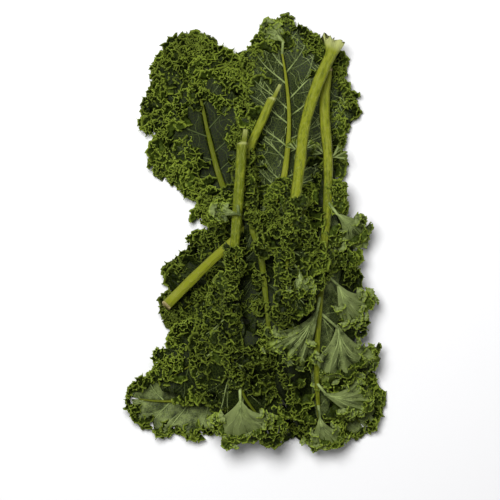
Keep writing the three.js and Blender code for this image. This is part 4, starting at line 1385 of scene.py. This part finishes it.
def stalk_points(number, kind, reach, a, turn):
    """A stalk's rings of points at lengths a along the rib, and then the middle of each end."""
    leaf, plan = LEAVES[number], plans[number]
    random = np.random.default_rng(500 + leaf["seed"])
    x, y = plan.place(a, np.zeros_like(a))
    z = stalk_middle(number, np.minimum(a, plan.rib_end - 1))
    tx, ty = plan.direction(a)
    radius = stalk_radius(plan, a) * (1 + 0.03 * np.sin(a / 11 + leaf["seed"]) + 0.02 * np.sin(a / 4.3))
    (coarse, high), (fine, low) = COARSE_RIDGES, FINE_RIDGES
    ridges = 1 + high * np.cos(coarse * turn + 0.01 * a[:, None]) + low * np.cos(fine * turn + leaf["seed"])
    width, tall, shift, ragged = end_shape(kind, reach, a, turn, random)
    side = radius[:, None] * ridges
    across = side * width * np.cos(turn) + radius[:, None] * shift
    up = FLATNESS * side * tall * np.sin(turn)
    px = x[:, None] - ty[:, None] * across + tx[:, None] * ragged
    py = y[:, None] + tx[:, None] * across + ty[:, None] * ragged
    pz = np.maximum(z[:, None] + up, STALK_FLOOR)
    points = np.stack([px, py, pz], 2).reshape(-1, 3)
    way = np.array([tx[0], ty[0], 0])
    ends = points[:STALK_SIDES].mean(0) + END_HOLLOW * way, points[-STALK_SIDES:].mean(0)
    return np.vstack([points, *ends])


def stalk_mesh(number):
    """A leaf's stalk and midrib as one closed mesh, with its colours' attributes and its own map."""
    leaf, plan = LEAVES[number], plans[number]
    kind, reach = ENDS.get(leaf["name"], ("cut", CUT_REACH))
    a = np.concatenate([np.arange(0, reach + 2, END_STEP), np.arange(reach + 2, plan.rib_end, RIB_STEP),
                        [plan.rib_end]])
    turn = np.linspace(0, 2 * math.pi, STALK_SIDES, endpoint=False)[None]
    points, faces = stalk_points(number, kind, reach, a, turn), tube_faces(len(a))
    name = f"{leaf['name']}_midrib"
    data = bpy.data.meshes.new(name)
    data.from_pydata((points * MM).tolist(), [], faces.tolist())
    edge = np.concatenate([np.repeat(torn_share(kind, reach, a), STALK_SIDES), [1.0, 0.0]])
    turned_rib = smoothstep(a, plan.start, plan.start + TINT_CHANGE)
    tone = leaf["pale"] + STALK_TINT + (leaf["rib_tint"] - STALK_TINT) * turned_rib
    tint = np.concatenate([np.repeat(tone, STALK_SIDES), [STALK_TINT, tone[-1]]])
    for label, values in (("edge", edge), ("tint", tint)):
        attribute = data.attributes.new(label, "FLOAT", "POINT")
        attribute.data.foreach_set("value", values.astype(np.float32))
    around = np.concatenate([np.tile(np.abs(turn[0] - math.pi) * 4.5, len(a)), [0, 0]])
    along = np.concatenate([np.repeat(a, STALK_SIDES), [0, a[-1]]])
    uv = data.uv_layers.new(name="fan")
    uv.data.foreach_set("uv", np.stack([around, along], 1)[faces.ravel()].astype(np.float32).ravel())
    data.polygons.foreach_set("use_smooth", np.ones(len(data.polygons), bool))
    data.materials.append(STALK if kind != "cut" else CUT_STALK)
    return linked(name, data)


print("stalk ends that are torn:", list(ENDS))

# %% [markdown]
# ## Leaflets
#
# Low on some stalks grow a few tiny leaves, thin and curled. They are too small to need a rib and a web of
# their own, so each is two narrow fans that start at the stalk's side, from the rule that makes the curls.

# %% Leaflets
LEAFLET = Fan([(0.04, 4), (0.25, 8), (0.5, 16), (0.75, 32), (1.0, 32)])
LEAFLET_TWISTS = (-0.35, 0.4)  # how the two fans of a leaflet are turned aside
LEAFLET_ANGLE, LEAFLET_LEAN, LEAFLET_DROOP, LEAFLET_TINT = 0.22, 0.25, 7, 0.35
LEAFLET_WAVES, LEAFLET_DEPTH, LEAFLET_TEETH, LEAFLET_TOOTH = 1.6, 2.6, 5.0, 0.6


def add_leaflets(number, gathered):
    """Adds the tiny leaves low on a leaf's stalk."""
    leaf, plan = LEAVES[number], plans[number]
    random = np.random.default_rng(900 + leaf["seed"])
    for share, side, length, turned in leaf["leaflets"]:
        a = np.array([share * plan.length])
        sign = -1 if side else 1
        x, y = plan.place(a, sign * 0.8 * stalk_radius(plan, a))
        tx, ty = plan.direction(a)
        heading = np.arctan2(-ty, -tx) - sign * turned
        for twist in LEAFLET_TWISTS:
            points = fans(LEAFLET.rho, LEAFLET.turn, (x, y), heading + twist, [length], [LEAFLET_ANGLE],
                          [LEAFLET_LEAN], LEAFLET_WAVES, [LEAFLET_DEPTH], LEAFLET_TEETH, [LEAFLET_TOOTH],
                          random.uniform(0, 1, (2, 1)))
            points[..., 2] += stalk_middle(number, a)[0] - LEAFLET_DROOP * LEAFLET.rho[None] ** 2
            points[..., 2] = off_the_table(points[..., 2])
            uv = np.stack([LEAFLET.turn, LEAFLET.rho], 1)[None]
            gathered.add(LEAFLET, points, LEAFLET.rho[None], uv, np.array([LEAFLET_TINT]), face_up=False)


print("leaflets:", sum(len(leaf["leaflets"]) for leaf in LEAVES))

# %% [markdown]
# ## Putting each leaf together
#
# A leaf becomes two pieces, as in the plain model: the blade with its web, lobes, curls and veins, and the
# stalk with its midrib. Web, curls and veins could stay apart, but a real blade is one thing, and a plain
# node is best replaced by one piece. Each piece takes the place of its plain node.

# %% The leaves, dressed
def joined(name, parts):
    """One object from several, whose meshes keep their materials and attributes."""
    with bpy.context.temp_override(active_object=parts[0], selected_editable_objects=parts):
        bpy.ops.object.join()
    parts[0].name = name
    return parts[0]


VEIN_TINTS = {True: 0.1, False: -0.3}  # veins are lighter where a leaf or its lobes show their backs
total = 0
for number, leaf in enumerate(LEAVES):
    gathered = Sheets()
    add_web(number, gathered)
    lobes = add_lobes(number, gathered)
    add_leaflets(number, gathered)
    curls = add_curls(number, gathered, lobes)
    blade = gathered.mesh(f"{leaf['name']}_leaf", [FACE, BACK])
    paths = web_veins(number) + lobe_veins(number, lobes)
    vein_tint = VEIN_TINTS[leaf["back_up"] or bool(lobes)]
    veins = strands(f"{leaf['name']}_veins", paths, VEINS, VEIN_SIDES, vein_tint)
    blade = joined(f"{leaf['name']}_leaf", [blade, veins])
    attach(blade, "root")
    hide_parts(f"{leaf['name']}_blade")
    midrib = stalk_mesh(number)
    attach(midrib, "root")
    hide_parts(f"{leaf['name']}_stalk")
    total += len(blade.data.polygons) + len(midrib.data.polygons)
    print(leaf["name"], "curls", curls, "lobes", len(lobes), "triangles", len(blade.data.polygons),
          "top", round(max(v.co.z for v in blade.data.vertices) / MM, 1), "mm")
print("triangles in all:", total)

# %% [markdown]
# ## Table, light and camera
#
# The heap lies on a plain pale table. A large soft light stands nearly overhead, a little to the upper
# left, so that the curls are lit on top and the gaps between them go dark. An area light is soft because it
# is large, like a photographer's soft box, where a sun lamp would draw hard shadows. The camera looks
# straight down from high up, with a long lens, so that the heap's sides hardly show.

# %% Table and light
TABLE_HALF = 2.5  # metres, as are all sizes in this cell and the next


def table():
    """A plain pale table top, which isn't part of the heap."""
    data = bpy.data.meshes.new("table")
    corners = [(x * TABLE_HALF, y * TABLE_HALF, 0) for x, y in ((-1, -1), (1, -1), (1, 1), (-1, 1))]
    data.from_pydata(corners, [], [(0, 1, 2, 3)])
    material = bpy.data.materials.new("pale_table")
    material.use_nodes = True
    shader = material.node_tree.nodes["Principled BSDF"]
    shader.inputs["Base Color"].default_value = (0.86, 0.86, 0.87, 1)
    shader.inputs["Roughness"].default_value = 0.7
    data.materials.append(material)
    return linked("table", data)


def area_light(name, place, size, power, aim=(0, 0, 0)):
    """A square soft light of a size in metres and a power in watts, which faces the point aim."""
    data = bpy.data.lights.new(name, "AREA")
    data.size = size
    data.energy = power
    lamp = linked(name, data)
    lamp.location = place
    lamp.rotation_euler = (Vector(aim) - Vector(place)).to_track_quat("-Z", "Y").to_euler()
    return lamp


table()
area_light("key", (-0.32, 0.45, 1.6), 0.8, 35)
area_light("fill", (0.8, -0.4, 1.5), 1.0, 2)
WORLD_STRENGTH = 0.13  # a little light from everywhere, so that no gap is wholly black
world = bpy.data.worlds.new("studio")
world.use_nodes = True
world.node_tree.nodes["Background"].inputs["Color"].default_value = (1, 1, 1, 1)
world.node_tree.nodes["Background"].inputs["Strength"].default_value = WORLD_STRENGTH
bpy.context.scene.world = world
bpy.context.scene.view_settings.view_transform = "Standard"

# %% Camera
FRAME_WIDTH = 0.45  # what the picture spans at the heap's middle height
CAMERA_HEIGHT, MIDDLE_HEIGHT = 2.2, 0.035
FRAME_MIDDLE = (-5.66, -17.0)  # the plan point under the camera, in millimetres
SENSOR = 36
camera_data = bpy.data.cameras.new("camera")
camera_data.sensor_width = SENSOR
camera_data.lens = SENSOR * (CAMERA_HEIGHT - MIDDLE_HEIGHT) / FRAME_WIDTH
camera_data.clip_start = 0.05
camera = linked("camera", camera_data)
camera.location = (FRAME_MIDDLE[0] * MM, FRAME_MIDDLE[1] * MM, CAMERA_HEIGHT)
bpy.context.scene.camera = camera
print("lens:", round(camera_data.lens), "mm")
